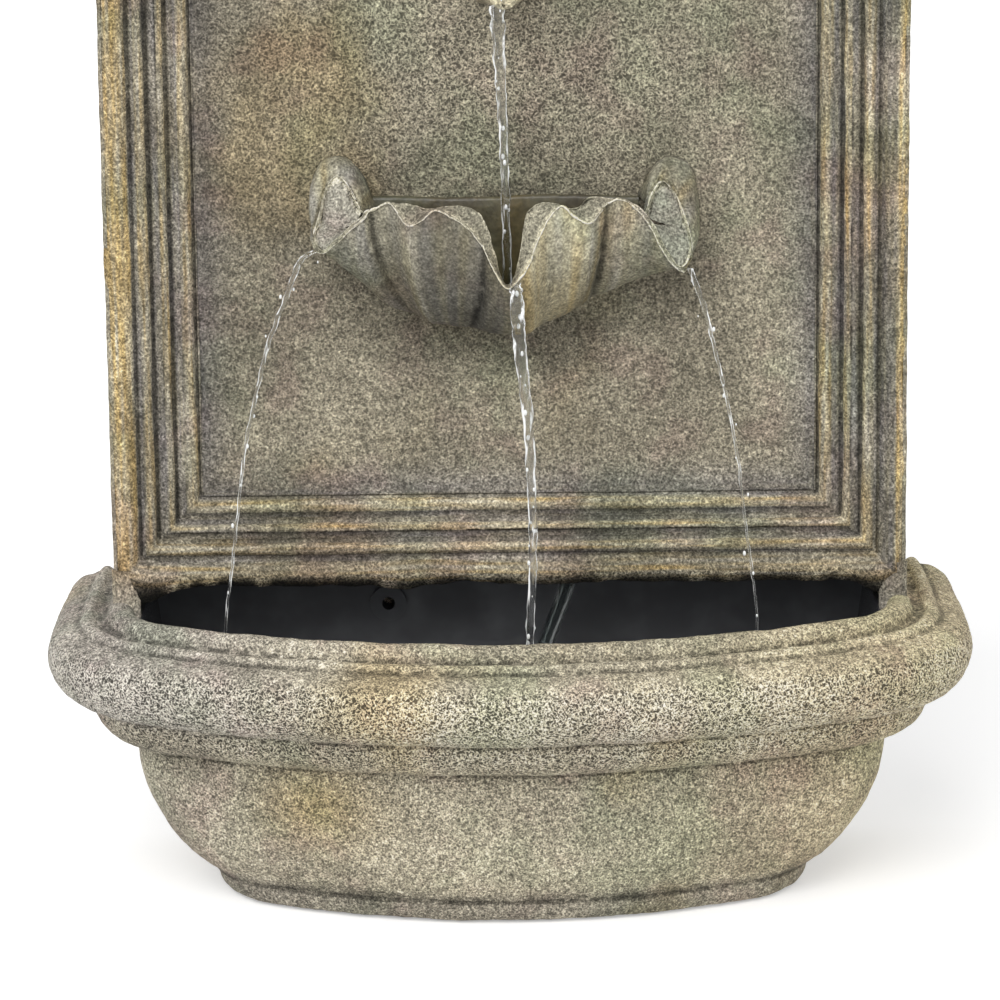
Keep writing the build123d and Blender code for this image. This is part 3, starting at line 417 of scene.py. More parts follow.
@dataclass(frozen=True)
class WeatheredStone(Finish):
    """Cast resin under a limestone wash: raised pale grain round dark pits, stained in broad soft patches."""

    base: str
    grain_mm: float = 1.3
    contrast: float = 0.36  # spread of the level, in natural log, on the smooth parts
    pitted: float = 0.52  # the same where the surface is deeply pitted
    relief_mm: float = 0.45
    gloss: float = 0.25
    roughness: float = 0.9
    seed: float = 0.0

    def level(self, add: Adder, at: Any, coarse: Any) -> Node:
        """Height of the grain: about 0 on average, above 1 on veins and below -1 in pits."""
        blot_mm, vein_size, vein_bend, vein_width = 3.4, 1.6, 0.5, 0.15
        fine = add(NOISE, cloud(at, self.grain_mm, self.seed, 2.0), noise_dimensions="4D")
        fine = add(MATH, {0: fine, 1: 7.4, 2: -3.7}, operation="MULTIPLY_ADD")
        blot = add(NOISE, cloud(at, blot_mm, self.seed + 1, 2.0), noise_dimensions="4D")
        blot = add(MATH, {0: blot, 1: 3.6, 2: -1.8}, operation="MULTIPLY_ADD")
        plain = add(MATH, {0: fine, 1: blot}, operation="ADD")
        worm = cloud(at, self.grain_mm * vein_size, self.seed + 2, 1.0, Distortion=vein_bend)
        worm = add(NOISE, worm, noise_dimensions="4D")
        off = add(MATH, {0: worm, 1: 0.5}, operation="SUBTRACT")
        off = add(MATH, {0: off}, operation="ABSOLUTE")
        vein = add(RANGE, {0: off, 1: 0.0, 2: vein_width, 3: 1.45, 4: -2.1})
        vein = add(MATH, {0: fine, 1: 0.45, 2: vein}, operation="MULTIPLY_ADD")
        return add(MIX, {0: coarse, 2: plain, 3: vein})

    def stained(self, add: Adder, at: Any, warm: Any) -> Any:
        """Stone colour with its mauve, sage, blue-grey and ochre stains."""
        patches = []
        # Size in millimetres, where the patch starts and is full, and how much of it shows
        for size, low, high, most in ((30, 0.50, 0.66, 0.45), (60, 0.47, 0.66, 0.5), (95, 0.50, 0.70, 0.5)):
            patch = add(NOISE, cloud(at, size, self.seed + 3 + size), noise_dimensions="4D")
            links = {0: patch, 1: low, 2: high, 3: 0.0, 4: most}
            patches.append(add(RANGE, links, interpolation_type="SMOOTHSTEP"))
        mauve, sage, ochre = patches
        ochre = add(MATH, {0: ochre, 1: warm}, operation="MAXIMUM")
        cool = add(MATH, {0: warm, 1: -1.0}, operation="MULTIPLY")
        stone: Any = linear(self.base)
        for share, tint in ((mauve, "#F8E6F0"), (sage, "#DDEFE2"), (cool, "#E6E9FF"), (ochre, "#FFE9BC")):
            links = {0: share, 6: stone, 7: linear(tint)}
            stone = add(MIX, links, data_type="RGBA", blend_type="MULTIPLY").outputs[2]
        return stone

    def dress(self, add: Adder, at: Any) -> Links:
        """Matt, with no gloss to speak of: the eye gets grain, stains, dark grooves and worn crests."""
        palest = (0.86, 0.82, 0.74)  # of the limewash
        read = [add("ShaderNodeAttribute", attribute_name=key).outputs["Fac"] for key in STONE_VALUES]
        hollow, coarse, tone, warm = read
        grain = self.level(add, at, coarse)
        spread = add(MIX, {0: coarse, 2: self.contrast, 3: self.pitted})
        level = add(MATH, {0: grain, 1: spread, 2: tone}, operation="MULTIPLY_ADD")
        broken = add(NOISE, cloud(at, 7.0, self.seed + 7), noise_dimensions="4D")
        broken = add(RANGE, {0: broken, 1: 0.36, 2: 0.56}, interpolation_type="SMOOTHSTEP")
        grime = add(RANGE, {0: hollow, 1: 0.05, 2: 0.8}, interpolation_type="SMOOTHSTEP")
        grime = add(MATH, {0: grime, 1: broken}, operation="MULTIPLY")
        level = add(MATH, {0: grime, 1: -0.85, 2: level}, operation="MULTIPLY_ADD")
        worn = add(RANGE, {0: hollow, 1: -0.15, 2: -1.0}, interpolation_type="SMOOTHSTEP")
        level = add(MATH, {0: worn, 1: 0.16, 2: level}, operation="MULTIPLY_ADD")
        patch = add(NOISE, cloud(at, 45.0, self.seed + 8), noise_dimensions="4D")
        patch = add(MATH, {0: patch, 1: 1.5, 2: -0.75}, operation="MULTIPLY_ADD")
        level = add(MATH, {0: level, 1: patch}, operation="ADD")
        links = {0: self.stained(add, at, warm), "Scale": add(MATH, {0: level}, operation="EXPONENT")}
        colour = add("ShaderNodeVectorMath", links, operation="SCALE")
        colour = add("ShaderNodeVectorMath", {0: colour, 1: palest}, operation="MINIMUM")
        height = add(MATH, {0: grain, 1: 0.25}, operation="MULTIPLY")
        return {
            "Base Color": colour,
            "Roughness": self.roughness,
            "Specular IOR Level": self.gloss,
            "Normal": add(BUMP, {"Height": height, "Distance": self.relief_mm * MM, "Strength": 0.8}),
        }


@dataclass(frozen=True)
class Moulded(Finish):
    """Injection-moulded or sheet plastic and rubber: an even colour with a fine grain."""

    colour: str
    roughness: float = 0.5
    grain_mm: float = 0.8
    relief_mm: float = 0.03
    gloss: float = 0.5

    def dress(self, add: Adder, at: Any) -> Links:
        """A little lighter and duller where smeared or rubbed; on the liner, painted wet sheen."""
        smear_mm, lighter, lift = 25.0, 1.5, 0.004
        grain = add(NOISE, cloud(at, self.grain_mm, 1.0, 2.0), noise_dimensions="4D")
        smear_and_sheen = add(NOISE, cloud(at, smear_mm, 4.0), noise_dimensions="4D")
        share = add(RANGE, {0: smear_and_sheen, 1: 0.35, 2: 0.75}, interpolation_type="SMOOTHSTEP")
        links = {0: share, 6: linear(self.colour), 7: shaded(self.colour, lighter, lift)}
        return {
            "Base Color": add(MIX, links, data_type="RGBA").outputs[2],
            "Roughness": add(RANGE, {0: smear_and_sheen, 3: self.roughness * 0.8, 4: self.roughness * 1.2}),
            "Specular IOR Level": self.gloss,
            "Normal": add(BUMP, {"Height": grain, "Distance": self.relief_mm * MM, "Strength": 0.6}),
        }


@dataclass(frozen=True)
class Metal(Finish):
    """Plated or bare metal with drawn or ground marks."""

    colour: str = "#B9BBBE"
    roughness: float = 0.35
    marks_mm: tuple[float, float, float] = (14.0, 14.0, 0.35)

    def dress(self, add: Adder, at: Any) -> Links:
        """Marks stretched along the working direction, seen in the roughness and faintly in the relief."""
        darker, relief_mm = 0.72, 0.02
        scale = tuple(per_mm(size) for size in self.marks_mm)
        drawn = add(MAPPING, {"Vector": at, "Scale": scale})
        marks = add(NOISE, {"Vector": drawn, "Scale": 1.0, "Detail": 3.0})
        share = add(RANGE, {0: marks, 1: 0.3, 2: 0.7}, interpolation_type="SMOOTHSTEP")
        links = {0: share, 6: shaded(self.colour, darker), 7: linear(self.colour)}
        return {
            "Base Color": add(MIX, links, data_type="RGBA").outputs[2],
            "Roughness": add(RANGE, {0: marks, 3: self.roughness * 0.7, 4: self.roughness * 1.3}),
            "Metallic": 1.0,
            "Normal": add(BUMP, {"Height": marks, "Distance": relief_mm * MM, "Strength": 0.5}),
        }


@dataclass(frozen=True)
class Clear(Finish):
    """Clear vinyl or still water: what is behind shows, and the rims catch the light."""

    colour: str
    index: float
    roughness: float
    ripple_mm: float
    relief_mm: float

    def dress(self, add: Adder, at: Any) -> Links:
        """Refraction with ripples along the surface."""
        ripple = add(NOISE, cloud(at, self.ripple_mm, 2.0, 2.0), noise_dimensions="4D")
        return {
            "Base Color": linear(self.colour),
            "Transmission Weight": 1.0,
            "IOR": self.index,
            "Roughness": self.roughness,
            "Normal": add(BUMP, {"Height": ripple, "Distance": self.relief_mm * MM, "Strength": 0.7}),
        }


@dataclass(frozen=True)
class Froth(Finish):
    """Falling water: clear in the middle of a thread, torn into white streaks along it."""

    share: float  # how much of it is white

    def dress(self, add: Adder, at: Any) -> Links:
        """White air-filled streaks drawn out downwards, whiter at the sides as a painted highlight, and clear
        water between them.
        """
        streak_mm, blur, relief_mm = (2.0, 2.0, 16.0), 0.08, 0.5
        # Whiter at the thread's sides: painted highlight.
        edge = add("ShaderNodeAttribute", attribute_name="tone").outputs["Fac"]
        drawn = add(MAPPING, {"Vector": at, "Scale": tuple(per_mm(size) for size in streak_mm)})
        streak = add(NOISE, {"Vector": drawn, "Scale": 1.0, "Detail": 4.0})
        white = add(MATH, {0: streak, 1: edge}, operation="ADD")
        limits = {1: 1.0 - self.share - blur, 2: 1.0 - self.share + blur}
        white = add(RANGE, {0: white} | limits, interpolation_type="SMOOTHSTEP")
        return {
            "Base Color": linear("#FAFBFA"),
            "IOR": 1.33,
            "Transmission Weight": add(RANGE, {0: white, 3: 1.0, 4: 0.08}),
            "Roughness": add(RANGE, {0: white, 3: 0.04, 4: 0.35}),
            "Normal": add(BUMP, {"Height": streak, "Distance": relief_mm * MM, "Strength": 0.7}),
        }


# Resin cast in a stone pattern and limewashed: matt, with pale grain over dark pits. The basin's is the
# palest and most deeply pitted, the bowl's the smoothest, and the field behind the bowl stays wet and dark.
BASIN_STONE = WeatheredStone("limestone_washed_resin_basin", "#A8A08C", 0.92, 0.60, 0.76, 0.5, seed=10.0)
PANEL_STONE = WeatheredStone("limestone_washed_resin_panel", "#918A78", 1.1, 0.48, 0.68, 0.45, seed=30.0)
BOWL_STONE = WeatheredStone("limestone_washed_resin_bowl", "#8D8874", 1.15, 0.38, 0.6, 0.4, seed=50.0)
WET_STONE = WeatheredStone("wet_resin_behind_bowl", "#55513F", 2.4, 0.2, 0.3, 0.2, 0.5, 0.35, 70.0)
# Vacuum-formed: near black, with broad soft smears painted lighter as a wet sheen.
LINER = Moulded("black_polyethylene_liner", "#3C3D40", 0.25, 3.0, 0.08, 0.6)
# Pressed sheet: plain dull grey.
SHEET = Moulded("grey_abs_sheet", "#5A5A57", 0.6, 0.9, 0.05)
# Injection-moulded with a spark-eroded texture: even and half matt.
PUMP_BLACK = Moulded("black_moulded_abs", "#1D1E20", 0.45, 0.7, 0.03)
PUMP_GREY = Moulded("grey_moulded_abs", "#7C8085", 0.45, 0.7, 0.03)
PUMP_WHITE = Moulded("white_moulded_acetal", "#DEDDD6", 0.4, 0.7, 0.02)
# Compression-moulded: dull black, with hardly a highlight.
RUBBER = Moulded("black_nitrile_rubber", "#17171A", 0.75, 0.5, 0.04, 0.3)
GROMMET = Moulded("black_epdm_rubber", "#343538", 0.6, 0.5, 0.04, 0.3)
# Open cells: deep rough grain that takes the light away.
FOAM = Moulded("black_open_cell_foam", "#202022", 0.95, 1.2, 0.9, 0.1)
# Polished: a white rod with sharp highlights.
CERAMIC = Moulded("polished_alumina_ceramic", "#E9E6DD", 0.18, 0.3, 0.005, 0.6)
# Ground: even dark grey.
FERRITE = Moulded("ground_ferrite", "#3A3A3D", 0.5, 0.4, 0.02)
# Enamelled wire, wound: warm copper under a clear coat.
COPPER = Moulded("enamelled_copper_winding", "#B0622F", 0.35, 0.5, 0.1)
# Plated steel with faint drawn lines, and the same of stacked sheets with their edges showing.
ZINC = Metal("zinc_plated_steel")
CORE = Metal("varnished_lamination_steel", "#7B7C80", 0.45, (30.0, 0.5, 30.0))
# Extruded: clear, faintly green, with its bore showing.
VINYL = Clear("clear_vinyl_tube", "#E9F0EE", 1.5, 0.06, 8.0, 0.1)
# Water: torn white threads, whiter drops and a dark mirror of a pool.
WATER = Froth("running_water", 0.44)
SPRAY = Froth("spray_drops", 0.62)
POOL = Clear("still_water", "#F2FAF7", 1.33, 0.02, 18.0, 0.5)

NODE_FINISHES: dict[Finish, tuple[str, ...]] = {
    LINER: ("basin_liner",),
    SHEET: ("rear_cover", "access_door"),
    ZINC: ("cover_screws", "door_screws", "hanger_plate", "hanger_screws", "tube_clamps"),
    GROMMET: ("cable_grommet",),
    VINYL: ("water_tube",),
    PUMP_BLACK: (
        "spout_elbow", "tube_clips", "pump_housing", "volute_cover", "outlet_nozzle", "strainer_cover",
    ),
    PUMP_GREY: ("flow_dial",),
    PUMP_WHITE: ("impeller",),
    CORE: ("stator_core",),
    COPPER: ("stator_coils",),
    RUBBER: ("potting_seal", "pump_cable_gland", "chamber_seal", "shaft_bushes", "suction_cups"),
    FOAM: ("intake_foam",),
    CERAMIC: ("impeller_shaft",),
    FERRITE: ("rotor_magnet",),
}


# ---------------------------------------------------------------- basin
@dataclass(frozen=True)
class Oval:
    """Half-oval plan against the wall, of arcs that touch one another."""

    half_width: float
    depth: float
    widest: float  # distance of the widest line from the wall
    corner: float  # radius of the front corners
    pull_in: float  # how much narrower it is at the wall

    def line(self, inset: float = 0.0) -> np.ndarray:
        """Points from the right end at the wall, round the front, to the left end.

        Args:
            inset: Distance inward.

        Returns:
            x and y of each point.
        """
        counts = (110, 60, 40)  # points in the front, corner and side arcs of one half
        run = self.depth - self.widest
        nose = ((self.half_width - self.corner) ** 2 + run**2 - self.corner**2) / (2 * (run - self.corner))
        side = (self.pull_in**2 + self.widest**2) / (2 * self.pull_in)
        turn = math.atan2(run - nose, self.half_width - self.corner)
        rise = math.asin(self.widest / (side - inset))
        arcs = (
            (0.0, nose - self.depth, nose, -math.pi / 2, turn),
            (self.half_width - self.corner, -self.widest, self.corner, turn, 0.0),
            (self.half_width - side, -self.widest, side, 0.0, rise),
        )
        half = []
        for (x, y, radius, start, end), count in zip(arcs, counts):
            angles = np.linspace(start, end, count + 1)[:-1]
            reach = radius - inset
            half.append(joined(x + reach * np.cos(angles), y + reach * np.sin(angles)))
        half.append(np.array([[self.half_width - side + (side - inset) * math.cos(rise), 0.0]]))
        right = np.vstack(half)
        return np.vstack([right[::-1], right[1:] * [-1, 1]])

    def towards(self, other: "Oval", share: float) -> "Oval":
        """Oval part of the way to another."""
        return Oval(*[a + (b - a) * share for a, b in zip(astuple(self), astuple(other))])


@dataclass
class Basin:
    """Half-oval basin with its rolled rim, its full body and its foot."""

    rim: Oval = Oval(223.5, 200.0, 86.0, 80.0, 3.0)
    body: Oval = Oval(181.7, 158.2, 86.0, 38.2, 3.0)
    foot: Oval = Oval(145.0, 147.0, 76.0, 48.0, 20.0)
    body_top: float = 79.5
    foot_top: float = 12.0
    fullness: float = 0.77  # of the body: lower is rounder at the foot
    body_rows: int = 48
    # Foot's section as (inset, height), down to the recess under it
    foot_section: tuple[tuple[float, float], ...] = (
        (0.6, 11.2), (0.2, 9.0), (0.8, 6.5), (1.8, 4.0), (3.2, 1.8), (5.0, 0.5), (6.5, 0.0), (14.0, 0.0),
        (22.0, 0.0),
    )
    # How deeply the stone is pitted, as (height, share)
    pitting: tuple[tuple[float, float], ...] = (
        (0, 0.4), (70, 0.55), (84, 0.75), (92, 1.0), (99, 0.9), (103, 1.0), (128, 1.0), (134, 0.45),
        (150, 0.5),
    )

    def rim_section(self) -> np.ndarray:
        """Section as (outward, height), from the lip's inner face over the roll to the ovolo's foot."""
        lip, bead, crown = (-29.0, 137.5), (-16.0, 136.5), (0.0, 121.0)
        quirk, ovolo_foot = (-21.0, 99.7), (-41.2, 79.5)
        parts = [
            [(-43.5, z) for z in (128.0, 131.0, 134.0, 137.0)],
            arc((-43.5, 140.0), (-37.4, 145.3), lip, 14),
            [lip, (-27.7, 137.2), (-26.3, 137.2)],
            arc((-25.0, 137.5), (-20.5, 140.3), bead, 12),
            arc(bead, (-4.8, 132.2), crown, 18),
            arc(crown, (-6.24, 105.94), quirk, 26),
            arc(quirk, (-26.9, 85.4), ovolo_foot, 24),
            [ovolo_foot],
        ]
        return np.vstack([np.asarray(part) for part in parts])

    def body_plan(self, z: float) -> Oval:
        """Plan of the body at a height."""
        share = (self.body_top - z) / (self.body_top - self.foot_top)
        return self.body.towards(self.foot, 1 - (1 - share**2) ** self.fullness)

    def surface(self) -> Surface:
        """Whole outer surface, from the lip to the ring under the foot."""
        section = self.rim_section()
        heights = self.foot_top + (self.body_top - self.foot_top) * np.linspace(1, 0, self.body_rows)
        lines = [(self.rim.line(-out), z) for out, z in section]
        lines += [(self.body_plan(z).line(), z) for z in heights]
        lines += [(self.foot.line(inset), z) for inset, z in self.foot_section]
        points = np.stack([joined(*line.T, z) for line, z in lines])
        narrow = self.rim.half_width - self.foot.half_width
        body = [(self.body_plan(z).half_width - self.rim.half_width, z) for z in heights]
        foot = [(-narrow - inset, z) for inset, z in self.foot_section]
        outline = np.vstack([section, body, foot])
        hollow = np.clip(hollowness(outline, 3.0) / 0.9, -1, 1)
        coarse = np.interp(outline[:, 1], *np.transpose(self.pitting))
        tone, warm = self.paint(points)
        points = self.softened(points, hollow)
        hollow, coarse = 0.75 * hollow[:, None], coarse[:, None]
        surface = Surface(points, hollow, coarse, tone, warm, capped=True, ends_from=3)
        return surface.roughened(26.0, 1.1, 3.0).roughened(5.0, 0.5, 9.0, 2)

    def softened(self, points: np.ndarray, hollow: np.ndarray) -> np.ndarray:
        """Fills the creases a little where the casting and its wash have clogged them.

        Args:
            points: Rows of the surface.
            hollow: Hollowness of each row.

        Returns:
            The points with shallower creases, more so at the left.
        """
        reach = 3  # rows on each side that a crease is filled from
        under_roll = 60  # row whose noise decides where the creases are clogged
        padded = np.vstack([points[:1]] * reach + [points] + [points[-1:]] * reach)
        window = 2 * reach + 1
        mean = sum(padded[k : k + len(points)] for k in range(window)) / window
        crease = points[under_roll]
        clogged = 0.3 + 0.7 * ramp(lumps(crease, 40.0, 2, 5.0) + ramp(-crease[:, 0], 60, 200), -0.1, 0.7)
        share = np.clip(hollow, 0, 1)[:, None] * clogged[None, :]
        return points + (mean - points) * share[..., None]

    def paint(self, points: np.ndarray) -> tuple[np.ndarray, np.ndarray]:
        """Tone and warmth of each point: greyer at the left, ochre at the right, dark at the foot."""
        x, z = points[..., 0], points[..., 2]
        upper = ramp(z, 92, 104)
        shade_under_roll = hill(z, 88, 8)
        # Darker at the foot.
        foot_darker = ramp(-z, -17, -11)
        foot_groove = hill(z, 13.0, 2.2) * ramp(lumps(points * [1, 1, 0.3], 22.0, 2, 15.0), -0.5, 0.3)
        # Painted light and shade: a little lighter on the rim above the quirk, darker on the ovolo under the
        # roll.
        tone = 0.06 * upper - 0.16 * shade_under_roll + 0.1 * ramp(x, 60, 170)
        tone = tone - 0.28 * foot_darker - 0.55 * foot_groove
        grey_left = ramp(-x, 40, 190) * (0.3 + 0.7 * upper)
        body_stain = hill(x, -95, 28) * hill(z, 60, 22)
        roll_stain = hill(x, -70, 40) * hill(z, 118, 12)
        warm = 0.35 * ramp(x, 30, 190) - 0.75 * grey_left - 0.3 * ramp(-z, -20, -8)
        return tone, warm + 0.7 * body_stain + 0.35 * roll_stain

    def build(self) -> None:
        """Makes the piece and lets it ride on the fountain."""
        settle(skin("basin_stone", [self.surface()], BASIN_STONE), "basin")


# ---------------------------------------------------------------- panel
class Hand(Enum):
    """Side of the fountain, seen from the front."""

    LEFT = -1
    RIGHT = 1


@dataclass(frozen=True)
class Roll:
    """One rounded moulding of the frame, and the floor of the groove inside it."""

    width: float
    crown: float  # depth of its crown
    quirk: float  # depth of its inner edge
    gap: float  # width of the floor
    rise: float  # of the floor towards the next roll


@dataclass
class Panel:
    """Hollow arched panel: a moulded frame round a plain field."""

    half_width: float = 191.0
    sill: float = 150.5  # height of the frame's lower edge
    spring: float = 596.0  # height at which the arch starts
    depth: float = 86.0
    seat: float = 137.5  # height at which the legs stand on the basin's rim
    wall: float = 6.0
    rebate: float = 3.0  # width and depth of the ledge for the rear cover
    cover: float = 7.6  # distance of that ledge from the wall
    field_back: float = 68.0
    edge: float = 4.0  # depth of the frame's outer edge behind its crown
    cut: float = 0.5  # depth of the cut line beside each roll
    cut_width: float = 0.35
    framed: tuple[float, float] = (42.0, 50.0)  # inset at which the frame gives way to the field
    counts: tuple[int, int, int] = (190, 170, 240)  # columns along the sill, a side and the arch
    rolls: tuple[Roll, ...] = (
        Roll(14.2, 0.0, 4.0, 1.8, 0.5),
        Roll(6.6, 2.2, 6.6, 4.6, 1.6),
        Roll(4.4, 5.2, 9.4, 4.5, 1.6),
        Roll(6.9, 7.6, 12.0, 0.6, 0.0),
    )

    def moulding(self) -> np.ndarray:
        """Section of the frame from the outer edge to the field.

        Returns:
            Rows of inward, forward, tone on the sides, warmth and tone along the sill; the last holds painted
            shadow.
        """
        rows: list[Sequence[float]] = []
        inward, start = 0.0, (0.0, -self.edge)
        for roll in self.rolls:
            count = max(8, int(roll.width * 1.5))
            crest = np.sin(np.pi * np.arange(count) / count) ** 0.6
            top = (inward + roll.width / 2, -roll.crown)
            curve = arc(start, top, (inward + roll.width, -roll.quirk), count)
            rows += list(joined(*curve.T, 0.42 * crest - 0.25, 0.45 * crest - 0.15, 0.5 * crest - 0.25))
            inward += roll.width
            rows.append((inward, -roll.quirk, -0.6, -0.3, 0.1))
            rows.append((inward + self.cut_width, -roll.quirk - self.cut, -1.2, -0.3, -0.1))
            for share in np.linspace(0.2, 0.95, 4 if roll.gap > 2 else 2):
                across = inward + self.cut_width + (roll.gap - self.cut_width) * share
                # Along the sill each floor darkens towards the next roll above it: painted shadow of that
                # roll.
                rows.append((across, -roll.quirk + roll.rise * share, -0.15, -0.6, 0.15 - 1.2 * share**1.5))
            inward += roll.gap
            start = (inward, -roll.quirk + roll.rise)
        return np.array(rows + [(*start, -0.75, -0.3, -0.6)])

    def field(self, inward: float, forward: float) -> np.ndarray:
        """Section of the field, in the same columns, from the frame to the middle."""
        near = inward + np.array([0.8, 2.0, 3.6])
        insets = np.concatenate([near, np.linspace(inward + 6, self.half_width - 0.5, 50)])
        # Painted shade along the field's edge beside the frame, fainter and narrower along the sill; the
        # bluish edge is its colour.
        shade, cool, sill_shade = [hill(insets, inward, width) for width in (9.0, 12.0, 5.0)]
        return joined(insets, forward, -0.28 * shade, -0.8 * cool, -0.2 * sill_shade)

    def loop(self, inset: float) -> np.ndarray:
        """Arched outline at an inset: along the sill, up the right, over the arch and down the left."""
        half, low = self.half_width - inset, self.sill + inset
        sill, side, crown = self.counts
        bottom = joined(np.linspace(-half, half, sill, endpoint=False), low)
        right = joined(half, np.linspace(low, self.spring, side, endpoint=False))
        angles = np.linspace(0, math.pi, crown, endpoint=False)
        arch = joined(half * np.cos(angles), self.spring + half * np.sin(angles))
        left = joined(-half, np.linspace(self.spring, low, side, endpoint=False))
        return np.vstack([bottom, right, arch, left])

    def rows(self, section: np.ndarray) -> np.ndarray:
        """Points of the outline at each (inward, forward) of a section."""
        lines = [(self.loop(inward).T, -self.depth - forward) for inward, forward in section]
        return np.stack([joined(x, y, z) for (x, z), y in lines])

    def front(self) -> Surface:
        """Frame and field, seen from the front."""
        moulded = self.moulding()
        whole = np.vstack([moulded, self.field(*moulded[-1, :2])])
        section = whole[:, :2]
        inset = section[:, :1]
        points = self.rows(section)
        x, z = points[..., 0], points[..., 2]
        hollow = np.clip(hollowness(section, 2.0) / 0.8, -1, 1) * 0.4
        field = ramp(inset, *self.framed)
        over_bowl = hill(z, 400, 55) * hill(x, 0, 120)
        coarse = 0.4 + field * (0.05 + 0.3 * over_bowl) + 0.5 * (inset < 8) * hill(z, self.sill, 8)
        tone, warm = self.paint(points, whole)
        # Painted shadow round and under the bowl, and painted shade in a strip at the field's left; a little
        # darker above the bowl.
        bowl_shadow = 1 - ramp(np.hypot(x / 88, (z - 300) / 42), 0.75, 1.25)
        tone = tone - field * (0.4 * bowl_shadow + 0.1 * over_bowl + 0.25 * hill(x, -140, 28))
        # Painted shade: near black in broken patches along the sill's lower edge, strongest at the left.
        torn = (1 - ramp(inset, 1.0, 8.0)) * hill(z, self.sill, 9) * (0.65 + 0.35 * ramp(-x, 40, 60))
        tone = tone - 3.6 * torn * ramp(lumps(points * [1, 0, 0], 14.0, 3, 65.0), -0.5, 0.2)
        surface = Surface(points, hollow[:, None], coarse, tone, warm, closed=True)
        surface.roughened(38.0, 1.3, 21.0).roughened(6.0, 0.45, 27.0, 2)
        return self.ragged(surface)

    def paint(self, points: np.ndarray, section: np.ndarray) -> tuple[np.ndarray, np.ndarray]:
        """Streaks along the mouldings, on top of what the section gives.

        Args:
            points: Points of the front.
            section: Rows as moulding() gives them.

        Returns:
            Tone and warmth of each point.
        """
        sill_end, right_end = self.counts[0], self.counts[0] + self.counts[1]
        column = np.arange(points.shape[1])
        sill, left = column < sill_end, column >= points.shape[1] - self.counts[1]
        right = (column >= sill_end) & (column < right_end)
        inward = section[:, :1]
        line = points[20]  # any line of the outline will do to measure along
        along = np.cumsum(np.linalg.norm(np.diff(line, axis=0, prepend=line[:1]), axis=1))
        grid = joined(inward / 2.2, along[None, :] / 55.0, 0.0)
        framed = 1 - ramp(inward, *self.framed)
        streak = lumps(grid, 1.0, 2, 81.0) * framed
        fleck = lumps(grid * [1.6, 14.0, 1.0], 1.0, 2, 85.0) * framed
        outer = inward < self.rolls[0].width
        away = ramp(inward / self.rolls[0].width, 0.3, 0.5)  # half of the outer roll that faces inward
        shaded_side = outer * right * away
        lit_side = outer * right * (1 - away)
        # On the sill the section's last column, with its painted shadow under each roll; elsewhere its third.
        tone = np.where(sill[None, :], section[:, 4:], section[:, 2:3]) + 0.36 * streak + 0.36 * fleck
        tone = tone + outer * (0.22 * left - 0.12 * sill) - 0.42 * shaded_side + 0.25 * lit_side
        warm = section[:, 3:4] + 0.9 * lumps(grid, 1.0, 2, 91.0) * framed
        warm = warm + outer * 0.45 * left - 0.7 * shaded_side + 0.5 * lit_side
        return tone, np.clip(warm, -1, 1)

    def ragged(self, surface: Surface) -> Surface:
        """Hand-trimmed lower edge of the sill, drooping into the legs at its ends."""
        trimmed = 14  # rows that follow the edge
        points = surface.points
        sill = self.counts[0]
        x = points[0, :sill, 0]
        edge = points[0, :sill] * [1, 0, 0]
        wobble = lumps(edge, 45.0, 3, 61.0) * 1.6 + lumps(edge, 9.0, 2, 63.0) * 0.7
        for droop, place, width in ((2.4, -52.0, 11.0), (8.5, -178.0, 14.0), (6.0, 178.5, 10.0)):
            wobble -= droop * hill(x, place, width)
        for row in range(trimmed):
            points[row, :sill, 2] += wobble * (1 - row / trimmed) ** 1.5
        return surface

    def sill_edge(self, front: Surface) -> Surface:
        """Rough underside of the sill, back to the inner face of the panel's wall."""
        inward, rise = self.depth - self.field_back - 3.0, 1.5
        lower = front.points[0, : self.counts[0] + 1]
        rows = [lower + [0.0, share * inward, share * rise] for share in (1.0, 0.7, 0.4, 0.15, 0.0)]
        # Darker underneath: painted shade on the sill's underside.
        return Surface(np.stack(rows), 0.5, 0.2, -0.5).roughened(7.0, 1.0, 33.0)

    def strip(self) -> np.ndarray:
        """Columns of the side walls and arch, from the right foot over the top to the left foot.

        Returns:
            Shares of the half width in x, height, and share of the half width in the height.
        """
        _, side, crown = self.counts
        z = np.linspace(self.seat, self.spring, side, endpoint=False)
        angles = np.linspace(0, math.pi, crown + 1)
        arch = joined(np.cos(angles), self.spring, np.sin(angles))
        return np.vstack([joined(1.0, z, 0.0), arch, joined(-1.0, z[::-1], 0.0)])

    def walls(self) -> Surface:
        """Side walls and arch: inner face, rebate, back rim, outer face and a lap under the front's edge."""
        behind_field = 1.0 - self.field_back
        section = [(self.wall, behind_field), (self.wall, -40.0), (self.wall, -self.cover)]
        section += [(self.rebate, -self.cover), (self.rebate, -3.0), (self.rebate, -0.3), (0.3, -0.3)]
        lap = self.edge - self.depth
        section += [(0.0, y) for y in np.linspace(-1.0, lap, 24)] + [(0.7, lap - 1.0), (2.2, lap - 2.3)]
        across, base, rise = self.strip().T
        rows = []
        for inset, y in section:
            half = self.half_width - inset
            rows.append(joined(across * half, y, base + rise * half))
        surface = Surface(np.stack(rows), 0.0, 0.15)
        return surface.roughened(34.0, 1.0, 41.0).roughened(6.0, 0.4, 45.0, 2)

